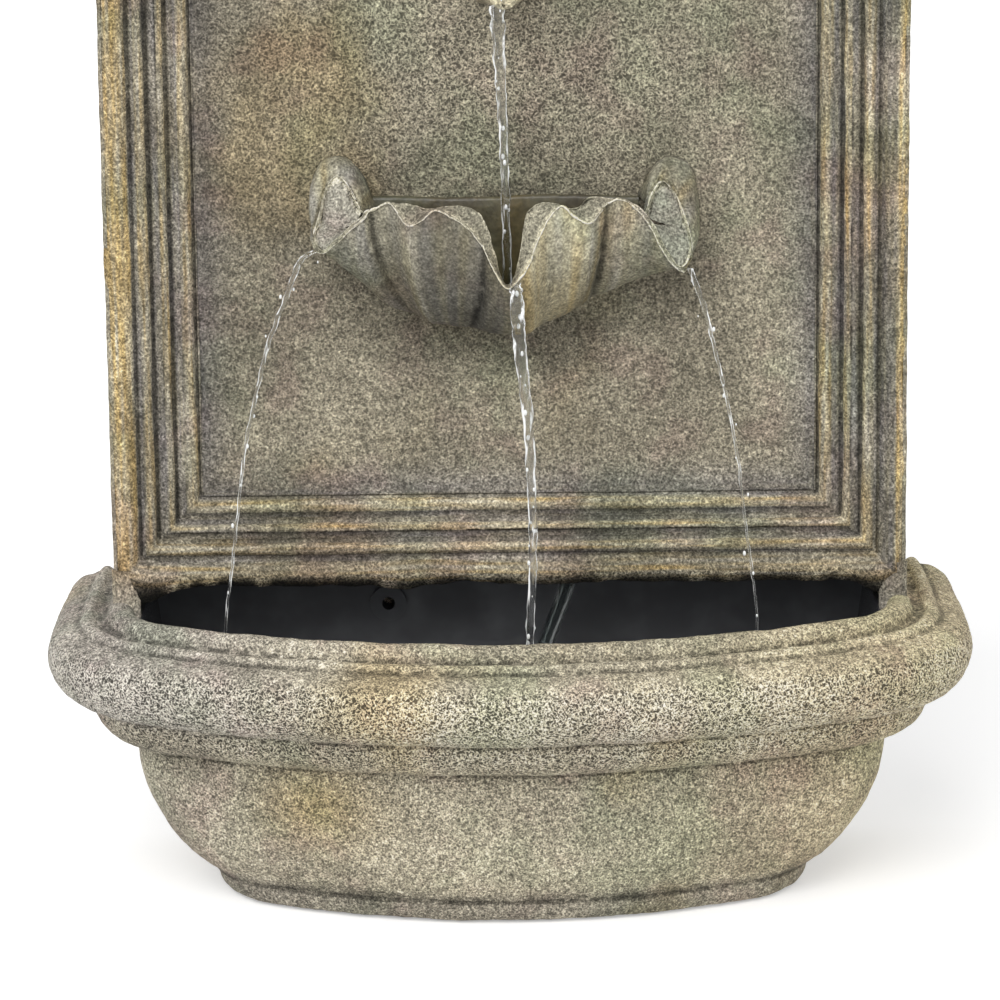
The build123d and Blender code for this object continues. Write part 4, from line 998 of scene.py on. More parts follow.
    def leg(self, hand: Hand) -> Surface:
        """Outer roll carried down from the sill to the basin's rim, with its inner cheek."""
        roll = self.rolls[0]
        foot = self.seat - 1.5  # let into the rim
        face = arc((0.0, -roll.quirk), (roll.width / 2, -roll.crown), (roll.width, -roll.quirk), 16)
        depths = np.array([0.0, 2.0, 5.0, 9.0, 14.0])
        cheek = joined(roll.width - 0.2 * np.arange(len(depths)), -roll.quirk - depths)
        section = np.vstack([face, cheek])
        order = section if hand is Hand.LEFT else section[::-1]
        on_face = order[:, 1] >= -roll.quirk - 1
        rows = []
        for z in np.linspace(foot, self.sill + roll.width * 0.7, 22):
            flare = 3.2 * hill(z, foot, 5.0) * on_face
            x = hand.value * (self.half_width - order[:, 0] + 0.6)
            y = -self.depth - order[:, 1] - flare + 0.5 * (z > self.sill)
            rows.append(joined(x, y, z))
        height = np.linspace(0, 1, len(rows))[:, None]
        warm = -0.7 + height * (0.9 - 0.2 * hand.value)
        return Surface(np.stack(rows), 0.1, 0.45, 0.1 - 0.1 * height, warm).roughened(8.0, 0.8, 51.0)

    def inner_face(self) -> Surface:
        """Back of the field, inside the panel."""
        section = joined([0.5, 30.0, 90.0, 150.0, 190.5], self.field_back - self.depth)
        return Surface(self.rows(section)[:, ::-1], 0.2, 0.1, closed=True)

    def build(self) -> None:
        """Makes the pieces and lets them ride on the fountain."""
        front = self.front()
        legs = [self.leg(hand) for hand in Hand]
        settle(skin("panel_front", [front, self.sill_edge(front)], PANEL_STONE), "wall_panel")
        settle(skin("panel_walls", [self.walls(), self.inner_face(), *legs], PANEL_STONE))


# ---------------------------------------------------------------- leaf bowl
@dataclass
class LeafBowl:
    """Scalloped leaf with a fluted outside, curled ears and three spill lips."""

    # Each rib, from the left ear round the front to the right ear: its point on the rim (x, y, z), the
    # place where it leaves the field (x, z), and how much the inner lip stands above the outer one.
    ribs: tuple[tuple[float, float, float, float, float, float], ...] = (
        (-66, -97, 337, -60, 335, 0.8), (-70, -93, 342, -64, 346, 0.8), (-75, -88, 350, -70, 356, 0.8),
        (-80, -86, 352.5, -78, 361, 0.8), (-85, -88, 346, -87, 358, 0.8), (-89, -97, 333, -92, 348, 0.8),
        (-91, -105, 326.5, -92.5, 334, 0.8), (-87, -112, 321, -86, 319, 0.5),
        (-80, -114, 326, -76, 311, 1.0), (-72, -116, 334, -64, 299, 1.0),
        (-67, -117, 338.5, -53, 288.5, 1.0), (-63, -117.5, 342, -42, 283.5, 2.0),
        (-54, -119, 346.5, -37, 281.5, 0.0), (-46, -124.5, 337.6, -33, 280.5, 8.0),
        (-40, -128, 339.5, -30, 279.5, 5.5), (-33, -130, 345.5, -27, 279, 0.8),
        (-25, -132, 342.4, -24, 278.5, 4.5), (-17, -134.5, 337, -21.5, 278, 8.0),
        (-11, -136, 328.5, -19, 277.5, 11.0), (-6, -137.5, 319, -12, 277, 8.0),
        (0, -138.5, 310, -3, 277, 0.5), (5, -138.5, 314, 4, 277, 5.0), (9.5, -137, 320, 10, 278, 21.0),
        (14, -135, 331, 14, 279, 15.0), (20, -132.5, 342, 18, 280.5, 6.0),
        (26, -130.5, 346.7, 22, 281.5, 0.5), (32, -127, 341, 26, 283.5, 3.5),
        (38.5, -125, 337.4, 31, 286.5, 7.0), (43, -122.5, 340.5, 35, 288, 7.5),
        (47.5, -120.5, 344.8, 40, 290.5, 4.0), (53, -118, 347, 47, 294, 0.0),
        (61, -116, 342, 55, 298, 0.8), (68, -114.5, 332.5, 64, 302, 1.0), (75, -113, 319, 73, 306.5, 1.0),
        (82, -112, 310.5, 83, 310, 0.5), (87, -106, 317, 91, 320, 0.8), (86, -99, 329, 92.5, 335, 0.8),
        (82, -92, 339, 90.5, 348, 0.8), (78, -87, 345.5, 86, 356, 0.8), (73, -84, 348, 77.5, 359, 0.8),
        (68, -88, 342, 69, 354, 0.8), (64.5, -92, 334, 62, 340, 0.8),
    )
    folds: tuple[int, ...] = (0, 7, 11, 18, 29, 34, 41)  # ribs that lie in the folds between the lobes
    front_rib: float = 20.5  # middle of the ribs, at the front spill
    ear_ribs: tuple[float, float] = (7.6, 9.8)  # how far from the front the bowl turns into the ears
    span_steps: int = 9
    outer_rows: int = 46
    inner_rows: int = 24
    field_y: float = -74.0
    bowl_y: float = -92.0
    ear_centre: tuple[float, float, float] = (80.0, -100.0, 332.0)
    bowl_floor: tuple[float, float, float] = (0.45, -91.0, 289.0)  # share of the rim's x, then y and z
    ear_floor: tuple[float, float, float] = (79.0, -98.0, 330.5)
    lip_width: float = 7.0
    ear_lip_width: float = 2.5

    def meridians(self, start: Any, low: Any, high: Any, end: Any, t: np.ndarray) -> np.ndarray:
        """Cubic curves from start to end, one for each column, at the shares t."""
        t = t[:, None, None]
        return (1 - t) ** 3 * start + 3 * (1 - t) ** 2 * t * low + 3 * (1 - t) * t**2 * high + t**3 * end

    def lobes(self, at: np.ndarray) -> np.ndarray:
        """Height of the lobes along the rim: 1 at the middle of each, 0 in the folds."""
        marks = np.array(self.folds, float)
        index = np.clip(np.searchsorted(marks, at, side="right") - 1, 0, len(marks) - 2)
        share = (at - marks[index]) / (marks[index + 1] - marks[index])
        return np.clip(1 - np.abs(2 * share - 1) ** 2.6, 0, 1) ** 0.6

    def outside(self, line: np.ndarray, at: np.ndarray) -> np.ndarray:
        """Outer face, from the field to the rim.

        Args:
            line: Ribs, with the columns between them.
            at: Place of each column along the ribs.

        Returns:
            Rows of points.
        """
        rim = line[:, :3]
        base = joined(line[:, 3], self.field_y + 0.6, line[:, 4])
        reach = rim - base
        low = base + reach * [0.2, 0.72, 0.0] - [0, 0, 1]
        high = rim - reach * [0.04, 0.03, 0.5]
        t = 1 - (1 - np.linspace(0, 1, self.outer_rows)) ** 1.8
        outer = self.meridians(base, low, high, rim, t)
        ridges = 0.9 * hill(at, 13.0, 0.7) + 1.6 * hill(at, 22.0, 0.9)
        relief = (self.lobes(at) * 4.6 - 2.6 + ridges)[None, :] * np.sin(t * math.pi * 0.93)[:, None]
        outer = outer + Surface(outer).normals() * relief[..., None]
        skirt = outer[0] + (outer[0] - outer[5]) * [1, 0, 1] * 0.9
        skirt[:, 1] = self.field_y + 1.0
        return np.vstack([skirt[None], outer])

    def inside(self, line: np.ndarray, ear: np.ndarray) -> np.ndarray:
        """Lip and hollow, from the rim to the floors of bowl and ears.

        Args:
            line: Ribs, with the columns between them.
            ear: 1 in the columns of the ears.

        Returns:
            Rows of points.
        """
        rim, rise, ear = line[:, :3], line[:, 5:], ear[:, None]
        x, z, side = rim[:, 0], rim[:, 2], np.sign(rim[:, 0])
        ear_middle = joined(side * self.ear_centre[0], *self.ear_centre[1:])
        centre = joined(0.0, self.bowl_y, z) * (1 - ear) + ear_middle * ear
        inward = (centre - rim) / np.linalg.norm(centre - rim, axis=1, keepdims=True)
        width = self.lip_width + (self.ear_lip_width - self.lip_width) * ear
        lips = []
        for share in (0.06, 0.3, 0.6, 0.93, 1.0):
            bulge = rise * share**1.4 + 0.9 * math.sin(share * 3)
            lips.append(rim + inward * width * share + [0, 0, 1] * bulge)
        start = lips[-1] + inward * 1.2 - [0, 0, 1.6]
        bowl_floor = joined(x * self.bowl_floor[0], *self.bowl_floor[1:])
        ear_floor = joined(side * self.ear_floor[0], *self.ear_floor[1:])
        floor = bowl_floor * (1 - ear) + ear_floor * ear
        drop = start - floor
        low, high = start - drop * [0.02, 0.02, 0.5], floor + drop * [0.3, 0.3, 0.02]
        hollow = self.meridians(start, low, high, floor, np.linspace(0, 1, self.inner_rows))
        return np.vstack([np.stack(lips), hollow])

    def surface(self) -> Surface:
        """Outer face, lip and hollow in one strip, from the field over the lip to the floor."""
        line = through(self.ribs, self.span_steps)
        at = np.arange(len(line)) / self.span_steps
        ear = ramp(np.abs(at - self.front_rib), *self.ear_ribs)
        points = np.vstack([self.outside(line, at), self.inside(line, ear)])
        return self.painted(points, at, ear).roughened(16.0, 1.0, 71.0).roughened(4.0, 0.8, 77.0, 2)

    def painted(self, points: np.ndarray, at: np.ndarray, ear: np.ndarray) -> Surface:
        """Gives the points their dark folds, pale lips, stained lobes and pitted ears, with painted shade and
        light.

        Args:
            points: Rows of the bowl.
            at: Place of each column along the ribs.
            ear: 1 in the columns of the ears.

        Returns:
            The bowl's surface.
        """
        lip = self.outer_rows
        outside, inside = slice(1, lip + 1), slice(lip + 6, None)
        lobe, ear = self.lobes(at)[None, :], ear[None, :]
        hollow, tone, warm, coarse = [np.zeros(points.shape[:2]) for _ in range(4)]
        along = np.linspace(0, 1, lip)[:, None]
        # Ochre stain on the right lobe, with painted light on the ridge just right of the front notch; the
        # left lobes darker.
        ochre = 0.36 * hill(at, 25.0, 3.6) + 0.35 * hill(at, 22.0, 0.9)
        stain_and_light = (ochre - 0.25 * hill(at, 17.5, 4.0) - 0.15 * hill(at, 9.5, 2.0))[None, :]
        grid = joined(at[None, :] / 1.1, 0.8 * along, 0.0)
        hollow[outside] = np.clip(0.9 - lobe * 1.5, -0.1, 0.9) * ramp(along, 0.05, 0.3)
        # Painted shade: darker towards the field, less so on the ears, and darker in the folds.
        tone[outside] = -0.5 * (1 - ramp(along, 0.1, 0.8)) * (1 - 0.6 * ear) - 0.5 * (1 - lobe) ** 2
        tone[outside] += stain_and_light + 0.3 * hill(at, 13.0, 0.7)[None, :] + 0.4 * lumps(grid, 1.0, 3, 73.0)
        warm[outside] = np.clip(1.5 * stain_and_light - 0.25 + 0.9 * lumps(grid, 1.0, 2, 75.0), -0.9, 0.8)
        for number, value in enumerate((1.9, 0.9, 0.0, -0.05, 0.45, 1.0)):  # the lip, outside to inside
            tone[lip + number] = value + (0.35 * ear[0] if number > 1 else 0.0)
        coarse[lip : lip + 6] = 0.5
        warm[lip : lip + 6] = -0.3
        # The ears' hollows lighter: their pale colour, raised further as painted light against the shade
        # inside them; the bowl's hollow dark and wet.
        tone[inside] = 1.25 * ear - 0.75
        warm[inside] = -0.8 * ear
        hollow[inside] = 0.5 * (1 - ear)
        near_lip = (np.arange(len(points)) > lip - 12)[:, None]
        coarse = np.maximum(coarse, ear * (0.35 + 0.15 * near_lip))
        tone[1:lip] += 0.22 * ear
        # Darkened as painted shade where the bowl meets the field.
        hollow[:4] = 0.6
        return Surface(points, hollow, np.maximum(coarse, 0.1), tone, warm)

    def wet_patch(self) -> Surface:
        """Dark, smooth, always wet patch of the field behind the bowl, with a crisp top edge."""
        low, high, half_width, count = 290.0, 339.6, 63.0, 64
        levels = (  # share of its height, and how far it stands out of the field
            (0.0, -1.0), (0.03, 0.9), (0.3, 1.5), (0.6, 1.6), (0.85, 1.6), (0.97, 1.5), (1.0, 0.8),
            (1.005, -1.5),
        )
        across = np.linspace(-half_width, half_width, count)
        rows = []
        for share, lift in levels:
            z = low + (high - low) * share + 0.5 * np.sin(across / 13)
            narrowed = across * (0.52 + 0.48 * min(1.0, share / 0.6))  # hidden by the bowl below its corners
            rows.append(joined(narrowed, self.field_y - lift, z))
        stain = 0.8 * hill(across, 4.0, 9.0)[None, :]
        return Surface(np.stack(rows), 0.0, 0.0, 0.1 * stain, stain - 0.1).roughened(12.0, 0.7, 95.0, 2, 0.2)

    def build(self) -> None:
        """Makes the bowl and the wet patch and lets them ride on the fountain."""
        settle(skin("leaf_bowl_stone", [self.surface()], BOWL_STONE), "leaf_bowl")
        settle(skin("wet_patch", [self.wet_patch()], WET_STONE))


# ---------------------------------------------------------------- rosette and spout
class Repeat(Enum):
    """Geometry node trees of this file."""

    ROUND = "repeat_round_axis"
    DROPS = "drops_along_line"


def repeat_tree(kind: Repeat) -> NodeTree:
    """Builds a geometry node tree that makes copies and turns them into one dressed mesh.

    Args:
        kind: ROUND repeats its input in even steps round an axis that runs from the front to the
            back. DROPS scatters small drops near the line that it is given.

    Returns:
        The tree.
    """
    tree = bpy.data.node_groups.new(kind.value, "GeometryNodeTree")
    inputs = {
        Repeat.ROUND: {"Start": "Float", "Centre": "Vector"},
        Repeat.DROPS: {"Spread": "Vector", "Smallest": "Float", "Largest": "Float", "Seed": "Int"},
    }[kind]
    for name, socket in {"Geometry": "Geometry", "Count": "Int", "Finish": "Material", **inputs}.items():
        tree.interface.new_socket(name, in_out="INPUT", socket_type="NodeSocket" + socket)
    tree.interface.new_socket("Geometry", in_out="OUTPUT", socket_type="NodeSocketGeometry")
    add = partial(node, tree)
    given = add("NodeGroupInput").outputs
    links = {Repeat.ROUND: round_copies, Repeat.DROPS: drop_copies}[kind](add, given)
    real = add("GeometryNodeRealizeInstances", {0: add("GeometryNodeInstanceOnPoints", links)})
    smooth = add("GeometryNodeSetShadeSmooth", {0: real})
    dressed = add("GeometryNodeSetMaterial", {0: smooth, "Material": given["Finish"]})
    add("NodeGroupOutput", {0: dressed})
    return tree


def round_copies(add: Adder, given: Any) -> Links:
    """Places in even steps round an axis.

    Args:
        add: Adds a node to the tree.
        given: Sockets of the tree's inputs.

    Returns:
        What the instances are made from.
    """
    seats = add("GeometryNodePoints", {0: given["Count"], 1: given["Centre"]})
    step = add(MATH, {0: 2 * math.pi, 1: given["Count"]}, operation="DIVIDE")
    number = add("GeometryNodeInputIndex")
    angle = add(MATH, {0: number, 1: step, 2: given["Start"]}, operation="MULTIPLY_ADD")
    turn = add("ShaderNodeCombineXYZ", {"Y": angle})
    return {"Points": seats, "Instance": given["Geometry"], "Rotation": turn}


def drop_copies(add: Adder, given: Any) -> Links:
    """Drops of random size at random places near a line.

    Args:
        add: Adds a node to the tree.
        given: Sockets of the tree's inputs.

    Returns:
        What the instances are made from.
    """
    length = 1.7  # of a drop, in widths
    random = "FunctionNodeRandomValue"
    curve = add("GeometryNodeMeshToCurve", {0: given["Geometry"]})
    seats = add("GeometryNodeCurveToPoints", {0: curve, "Count": given["Count"]}, mode="COUNT")
    back = add("ShaderNodeVectorMath", {0: given["Spread"], "Scale": -1.0}, operation="SCALE")
    off = add(random, {0: back, 1: given["Spread"], "Seed": given["Seed"]}, data_type="FLOAT_VECTOR")
    moved = add("GeometryNodeSetPosition", {0: seats, "Offset": off})
    size = add(random, {2: given["Smallest"], 3: given["Largest"], "Seed": given["Seed"]}).outputs[1]
    tall = add(MATH, {0: size, 1: length}, operation="MULTIPLY")
    scale = add("ShaderNodeCombineXYZ", {"X": size, "Y": size, "Z": tall})
    drop = add("GeometryNodeMeshIcoSphere", {"Radius": 1.0, "Subdivisions": 2})
    return {"Points": moved, "Instance": drop, "Scale": scale}


def repeated(piece: Object, kind: Repeat, values: dict[str, Any]) -> Object:
    """Runs a geometry node tree on a piece and keeps the result as its plain mesh.

    Args:
        piece: Object whose mesh goes into the tree.
        kind: Which tree.
        values: Value of each named input.

    Returns:
        The piece, without the modifier.
    """
    tree = bpy.data.node_groups.get(kind.value) or repeat_tree(kind)
    modifier = piece.modifiers.new(kind.value, "NODES")
    modifier.node_group = tree
    sockets = {item.name: item.identifier for item in tree.interface.items_tree if item.in_out == "INPUT"}
    for name, value in values.items():
        modifier[sockets[name]] = value
    evaluated = piece.evaluated_get(bpy.context.evaluated_depsgraph_get())
    mesh = bpy.data.meshes.new_from_object(evaluated)
    piece.modifiers.remove(modifier)
    piece.data = mesh
    log.info("%s: %d faces", piece.name, len(mesh.polygons))
    return piece


@dataclass(frozen=True)
class Petal:
    """Veined petal of the rosette, pointing to the right of an axis through the origin."""

    near: float  # distance of its root from the axis
    far: float  # distance of its tip
    half_width: float
    low: float  # height of its edge above the field
    high: float  # height of its crest
    corners: int = 40
    vein: float = 1.6  # depth and half width of the groove along its middle
    curl: float = 1.6  # how far the tip curls up
    narrowing: float = 0.28  # towards the tip
    edge_share: float = 0.96  # share of its size at the top of its edge
    # Rings of its crown from the edge to the middle, as (share of its size, share of its rise)
    rings: tuple[tuple[float, float], ...] = (
        (0.8, 0.6), (0.6, 0.85), (0.4, 0.95), (0.2, 0.9), (0.02, 0.82),
    )

    def surface(self) -> Surface:
        """Edge, and crown with its vein."""
        angles = circle(self.corners)
        middle, reach = (self.near + self.far) / 2, (self.far - self.near) / 2
        edge = ((1.0, -1.0), (1.0, self.low * 0.6), (self.edge_share, self.low))
        crown = tuple((share, self.low + (self.high - self.low) * rise) for share, rise in self.rings)
        rows, hollows = [], []
        for share, height in edge + crown:
            x = np.cos(angles) * share
            z = np.sin(angles) * share * (1 - self.narrowing * np.cos(angles)) * self.half_width
            on_crown = share < self.edge_share
            relief = self.vein * hill(z, 0.0, self.vein) - self.curl * np.maximum(x - 0.5, 0)
            rows.append(joined(middle + x * reach, on_crown * relief - height, z))
            hollows.append(np.where(np.abs(z) < 2.0, 0.7, -0.3) if on_crown else np.full(self.corners, 0.6))
        return Surface(np.stack(rows), np.stack(hollows), 0.15, closed=True, capped=True)


@dataclass
class Rosette:
    """Round flower above the spout: two rings of veined petals and a domed button."""

    centre: tuple[float, float, float] = (0.0, -74.0, 528.0)
    count: int = 8  # petals in each ring
    button: float = 13.0  # radius
    plate: float = 4.0  # thickness of the disc under the button
    petal: Petal = Petal(12.0, 55.5, 13.2, 4.0, 9.0)
    low_petal: Petal = Petal(20.0, 57.8, 14.4, 2.0, 5.4)

    def ring(self, name: str, petal: Petal, start: float) -> Object:
        """Ring of petals, with the first turned by a start angle."""
        piece = skin(name, [petal.surface()], PANEL_STONE)
        piece.data.transform(Matrix.Translation((0.0, -WALL_Y, 0.0)))
        values = {"Count": self.count, "Start": start, "Finish": PANEL_STONE.material()}
        return repeated(piece, Repeat.ROUND, values | {"Centre": tuple(placed(self.centre))})

    def dome(self) -> Surface:
        """Button in the middle, on the petals' roots."""
        angles = circle(48)
        rows = []
        for tilt in np.radians(np.concatenate([[-14.0], np.linspace(0, 88, 14)])):
            radius = self.button * math.cos(tilt)
            out = self.button * math.sin(tilt) + self.plate - 1
            x, z = self.centre[0] + radius * np.cos(angles), self.centre[2] + radius * np.sin(angles)
            rows.append(joined(x, self.centre[1] - out, z))
        return Surface(np.stack(rows), 0.0, 0.3, closed=True, capped=True).roughened(5.0, 0.5, 97.0, 2)

    def build(self) -> None:
        """Makes the two rings and the button."""
        settle(skin("rosette_button", [self.dome()], PANEL_STONE), "rosette")
        settle(self.ring("rosette_petals", self.petal, 0.0))
        settle(self.ring("rosette_low_petals", self.low_petal, math.pi / self.count))


@dataclass
class SpoutLeaf:
    """Leaf tongue below the rosette, with veins and the channel that the water runs down."""

    root: tuple[float, float, float] = (0.0, -74.0, 450.0)
    drop: float = 13.0
    reach: float = 31.0
    half_width: float = 22.0
    half_height: float = 20.0
    channel: float = 2.6  # depth
    veins: int = 9
    corners: int = 72
    # From the field to the tip, as (share of the reach, share of the width, share of the height)
    levels: tuple[tuple[float, float, float], ...] = (
        (0.0, 1.0, 1.0), (0.45, 0.72, 0.7), (0.8, 0.42, 0.36), (1.0, 0.24, 0.16),
    )
    tip: tuple[tuple[float, float, float], ...] = ((1.0, 0.16, 0.1), (0.995, 0.04, 0.02))

    def surface(self) -> Surface:
        """Tongue from the field to its closed tip."""
        angles = circle(self.corners)
        rows, tip_highlight = [], []
        for share, wide, high in np.vstack([through(self.levels, 9), self.tip]):
            vein = 1 + 0.05 * np.cos(angles * self.veins) * (1 - share)
            x = self.half_width * wide * np.cos(angles) * vein
            z = self.root[2] - self.drop * share**1.6 + self.half_height * high * np.sin(angles) * vein
            z -= self.channel * ramp(share, 0.35, 0.7) * hill(x, 0.0, 3.0) * (np.sin(angles) > 0)
            rows.append(joined(x, self.root[1] + 0.8 - self.reach * share, z))
            # Painted highlight: lighter towards the tip.
            tip_highlight.append(np.full(self.corners, 0.75 * ramp(share, 0.6, 0.95)))
        surface = Surface(np.stack(rows), 0.0, 0.2, np.stack(tip_highlight), 0.1, closed=True, capped=True)
        return surface.roughened(6.0, 0.5, 99.0, 2)

    def build(self) -> None:
        """Makes the tongue."""
        settle(skin("spout_leaf_stone", [self.surface()], PANEL_STONE), "spout_leaf")


# ---------------------------------------------------------------- water
@dataclass(frozen=True)
class Stream:
    """Falling thread of water: its line, its widths along it, and the drops beside it."""

    name: str
    line: tuple[tuple[float, float, float], ...]
    widths: tuple[float, ...]
    seed: int
    sides: int = 16
    drops: int = 14
    largest: float = 0.8  # radius of its largest drop
    smallest: float = 0.25
    spread: tuple[float, float, float] = (2.2, 1.5, 9.0)  # how far its drops stray
    # Painted highlight at the thread's sides, of this strength.
    edge: float = 0.14  # how much whiter its edges are than its middle
    flatness: float = 0.4

    def surface(self) -> Surface:
        """Flattened, twisting and uneven tube, closed at both ends."""
        line = through(self.line, 16)
        width = np.interp(np.linspace(0, 1, len(line)), np.linspace(0, 1, len(self.widths)), self.widths)
        turn = circle(self.sides)[::-1]
        rows = []
        for number, (centre, half) in enumerate(zip(line, width / 2)):
            twist = 0.5 * math.sin(number * 0.35 + self.seed)
            wobble = 1 + 0.35 * noise.noise(Vector((number * 0.4, self.seed, 0.0)))
            sway = 0.5 * noise.noise(Vector((number * 0.25, self.seed + 7.0, 0.0)))
            across, deep = half * wobble * np.cos(turn), half * self.flatness * np.sin(turn)
            x = centre[0] + sway + across * math.cos(twist) - deep * math.sin(twist)
            y = centre[1] + across * math.sin(twist) + deep * math.cos(twist)
            rows.append(joined(x, y, centre[2]))
        middle = rows[0].mean(0)
        rows.insert(0, middle + (rows[0] - middle) * 0.05)
        # Painted highlight: whiter at the sides of the thread.
        edge = self.edge * (2 * np.abs(np.cos(turn)) ** 3 - 1)
        return Surface(np.stack(rows), tone=edge[None, :], closed=True, capped=True)

    def spray(self) -> Object:
        """Drops scattered along the thread."""
        line = placed(through(self.line, 4))
        steps = [(n, n + 1) for n in range(len(line) - 1)]
        values = {
            "Count": self.drops,
            "Spread": tuple(part * MM for part in self.spread),
            "Smallest": self.smallest * MM,
            "Largest": self.largest * MM,
            "Seed": self.seed,
            "Finish": SPRAY.material(),
        }
        return repeated(mesh_object(self.name + "_drops", line, edges=steps), Repeat.DROPS, values)

    def build(self) -> None:
        """Makes the thread and its drops and lets them ride on the fountain."""
        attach(skin(self.name, [self.surface()], WATER), ROOT)
        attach(self.spray(), ROOT)


@dataclass
class Water:
    """The four falling threads and the pool in the basin."""

    streams: tuple[Stream, ...] = (
        Stream(
            "stream_spout",
            (
                (-3, -104, 436), (-2.2, -105, 410), (-1, -106, 382), (-0.2, -107, 354),
                (0.4, -107, 312), (0.6, -107, 292),
            ),
            (7.5, 6.0, 4.5, 4.0, 4.5, 5.0),
            1,
            largest=0.9,
        ),
        Stream(
            "stream_left",
            (
                (-89, -111, 322.5), (-96.4, -113.2, 317.5), (-103.7, -114.5, 299.7),
                (-112.1, -115.8, 278.4), (-118.8, -117, 252.3), (-124, -118.2, 228.4),
                (-128.5, -119.5, 194.6), (-131.4, -120.8, 170.5), (-134.8, -122, 145.3), (-137, -123, 97),
            ),
            (4.0, 2.6, 1.8, 1.4, 1.3, 1.2),
            2,
        ),
        Stream(
            "stream_centre",
            (
                (4, -137.8, 312), (4.6, -140, 305), (5.9, -141, 280.3), (9.3, -142, 247.2),
                (10.7, -143, 209), (10.9, -144.4, 180.4), (9.2, -146, 142.8), (8.8, -147, 97),
            ),
            (5.0, 7.0, 5.5, 4.2, 4.0, 4.5),
            3,
            drops=24,
            largest=0.9,
        ),
        Stream(
            "stream_right",
            (
                (86, -111.5, 312), (92.8, -113.4, 292.4), (97.5, -114.9, 273.4), (103, -116.3, 249.5),
                (108.2, -117.7, 220.7), (111.4, -119.1, 191.7), (114.7, -120.6, 167.6), (117.1, -122, 142.3),
                (118.5, -123, 97),
            ),
            (3.0, 1.7, 1.3, 1.1, 1.0),
            4,
        ),
    )
    pool_level: float = 96.0
    pool_inset: float = 52.0  # from the basin's rim, inside the liner
    pool_back: float = -12.0
    pool_thickness: float = 3.0
    pool_middle: tuple[float, float] = (0.0, -90.0)
    ring_height: float = 0.7
    ring_width: float = 2.2
    ring_reach: float = 16.0

    def pool(self, rim: Oval) -> Surface:
        """Still water in the basin, as a thin closed sheet, with rings round the threads' landings."""
        line = rim.line(self.pool_inset)
        line[:, 1] = np.minimum(line[:, 1], self.pool_back)
        middle = np.array(self.pool_middle)
        rows = [joined(*line.T, self.pool_level - self.pool_thickness)]
        for share in np.linspace(1.0, 0.02, 60):
            spot = middle + (line - middle) * share
            z = np.full(len(line), self.pool_level)
            for stream in self.streams[1:]:
                away = np.linalg.norm(spot - np.array(stream.line[-1][:2]), axis=1)
                z += self.ring_height * np.sin(away / self.ring_width) * np.exp(-away / self.ring_reach)
            rows.append(joined(*spot.T, z))
        return Surface(np.stack(rows), closed=True, capped=True)

    def build(self, rim: Oval) -> None:
        """Makes the threads and the pool."""
        for stream in self.streams:
            stream.build()
        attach(skin("pool", [self.pool(rim)], POOL), ROOT)


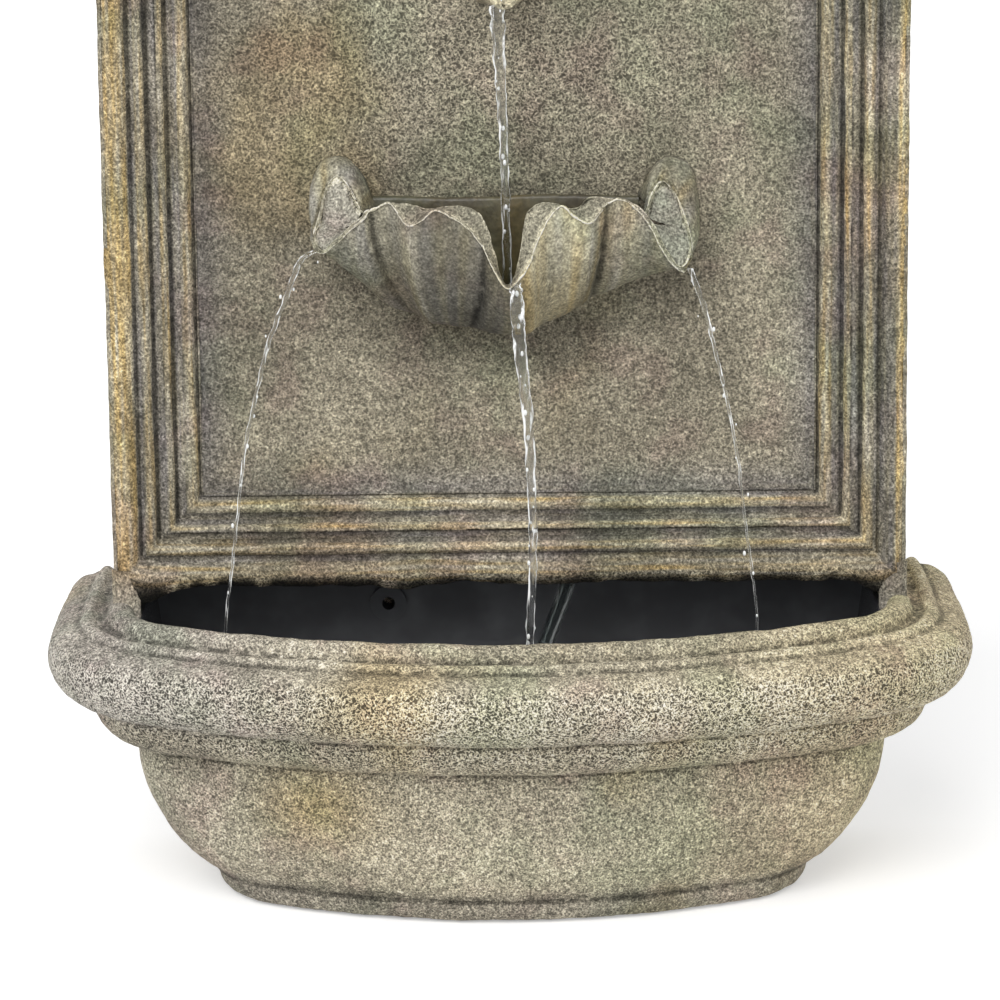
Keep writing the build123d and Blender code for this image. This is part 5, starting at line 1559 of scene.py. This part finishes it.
# ---------------------------------------------------------------- studio
@dataclass
class Studio:
    """Camera at the viewing angle of the part, soft light, and a pale floor."""

    focal_px: float = 5200.0  # focal length in pixels of a picture of frame_px
    frame_px: float = 1000.0
    px_per_mm: float = 2.09  # at the point that the camera is aimed at
    pitch: float = 14.99
    roll: float = -0.644
    aim: tuple[float, float, float] = (-4.2, -86.0, 194.0)
    sky: float = 0.55
    floor_lift: float = 0.35
    floor_half: float = 6000.0
    floor_z: float = -0.4

    def camera(self) -> None:
        """Sets the scene's camera."""
        pitch, roll = math.radians(self.pitch), math.radians(self.roll)
        ahead = Vector((0, math.cos(pitch), -math.sin(pitch)))
        right = Vector((1, 0, 0))
        up = right.cross(ahead)
        turned = math.cos(roll) * right + math.sin(roll) * up
        up = math.cos(roll) * up - math.sin(roll) * right
        lens = bpy.data.cameras.new("camera")
        lens.sensor_width = 36.0
        lens.lens = self.focal_px / self.frame_px * lens.sensor_width
        lens.clip_end = 50.0
        camera = bpy.data.objects.new("camera", lens)
        bpy.context.scene.collection.objects.link(camera)
        turn = Matrix((turned, up, -ahead)).transposed().to_4x4()
        place = Vector(placed(self.aim)) - ahead * self.focal_px / self.px_per_mm * MM
        camera.matrix_world = Matrix.Translation(place) @ turn
        bpy.context.scene.camera = camera

    def sun(self, name: str, ahead: tuple[float, float, float], strength: float, angle: float) -> None:
        """Adds a soft directional light that shines along a direction.

        Args:
            name: Its name.
            ahead: Direction in which it shines.
            strength: Irradiance, in watts a square metre.
            angle: How wide the light is, in degrees.
        """
        light = bpy.data.lights.new(name, "SUN")
        light.energy = strength
        light.angle = math.radians(angle)
        lamp = bpy.data.objects.new(name, light)
        bpy.context.scene.collection.objects.link(lamp)
        lamp.rotation_euler = Vector(ahead).to_track_quat("-Z", "Y").to_euler()

    def cleared(self, owner: bpy.types.World | bpy.types.Material) -> tuple[Adder, Node]:
        """Starts the nodes of the world or of a material.

        Args:
            owner: What the nodes belong to.

        Returns:
            The function that adds a node, and 1 where the eye looks, straight or by a reflection.
        """
        owner.use_nodes = True
        owner.node_tree.nodes.clear()
        add = partial(node, owner.node_tree)
        rays = add("ShaderNodeLightPath").outputs
        seen = add(MATH, {0: rays["Is Camera Ray"], 1: rays["Is Glossy Ray"]}, operation="MAXIMUM")
        return add, add(MATH, {0: seen, 1: rays["Is Transmission Ray"]}, operation="MAXIMUM")

    def world(self) -> None:
        """White for the eye and for reflections, softer as a light."""
        world = bpy.data.worlds.new("studio")
        add, seen = self.cleared(world)
        soft = add("ShaderNodeBackground", {0: linear("#FFFFFF"), 1: self.sky})
        white = add("ShaderNodeBackground", {0: linear("#FFFFFF"), 1: 1.0})
        add("ShaderNodeOutputWorld", {0: add("ShaderNodeMixShader", {0: seen, 1: soft, 2: white})})
        bpy.context.scene.world = world

    def floor(self) -> None:
        """White floor: lit as paper is, and a little lighter for the eye so that only the shadow shows."""
        corners = [(-1, -1), (1, -1), (1, 1), (-1, 1)]
        points = np.array([(x * self.floor_half, y * self.floor_half, self.floor_z) for x, y in corners])
        ground = mesh_object("studio_floor", placed(points), [(0, 1, 2, 3)])
        paper = bpy.data.materials.new("white_paper")
        add, seen = self.cleared(paper)
        lit = add("ShaderNodeBsdfDiffuse", {0: linear("#F4F4F4")})
        lift = add(MATH, {0: seen, 1: self.floor_lift}, operation="MULTIPLY")
        lift = add("ShaderNodeEmission", {0: linear("#FFFFFF"), 1: lift})
        add("ShaderNodeOutputMaterial", {0: add("ShaderNodeAddShader", {0: lit, 1: lift})})
        ground.data.materials.append(paper)

    def build(self) -> None:
        """Sets camera, lamps, world and floor."""
        bpy.context.scene.view_settings.view_transform = "Standard"
        self.camera()
        self.world()
        self.sun("key", (0.35, 0.75, -0.8), 1.9, 45.0)
        self.sun("fill", (-0.8, 0.6, -0.35), 0.5, 60.0)
        self.floor()


def dress_nodes() -> None:
    """Gives each carried-over CAD node its finish."""
    for finish, names in NODE_FINISHES.items():
        for name in names:
            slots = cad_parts[name].data.materials
            slots.clear()
            slots.append(finish.material())


def main() -> None:
    """Builds the fountain's pieces in order."""
    logging.basicConfig(level=logging.INFO, format="%(name)s %(message)s")
    Studio().build()
    dress_nodes()
    basin = Basin()
    for part in (basin, Panel(), LeafBowl(), Rosette(), SpoutLeaf()):
        part.build()
    Water().build(basin.rim)


if __name__ == "__main__":
    main()
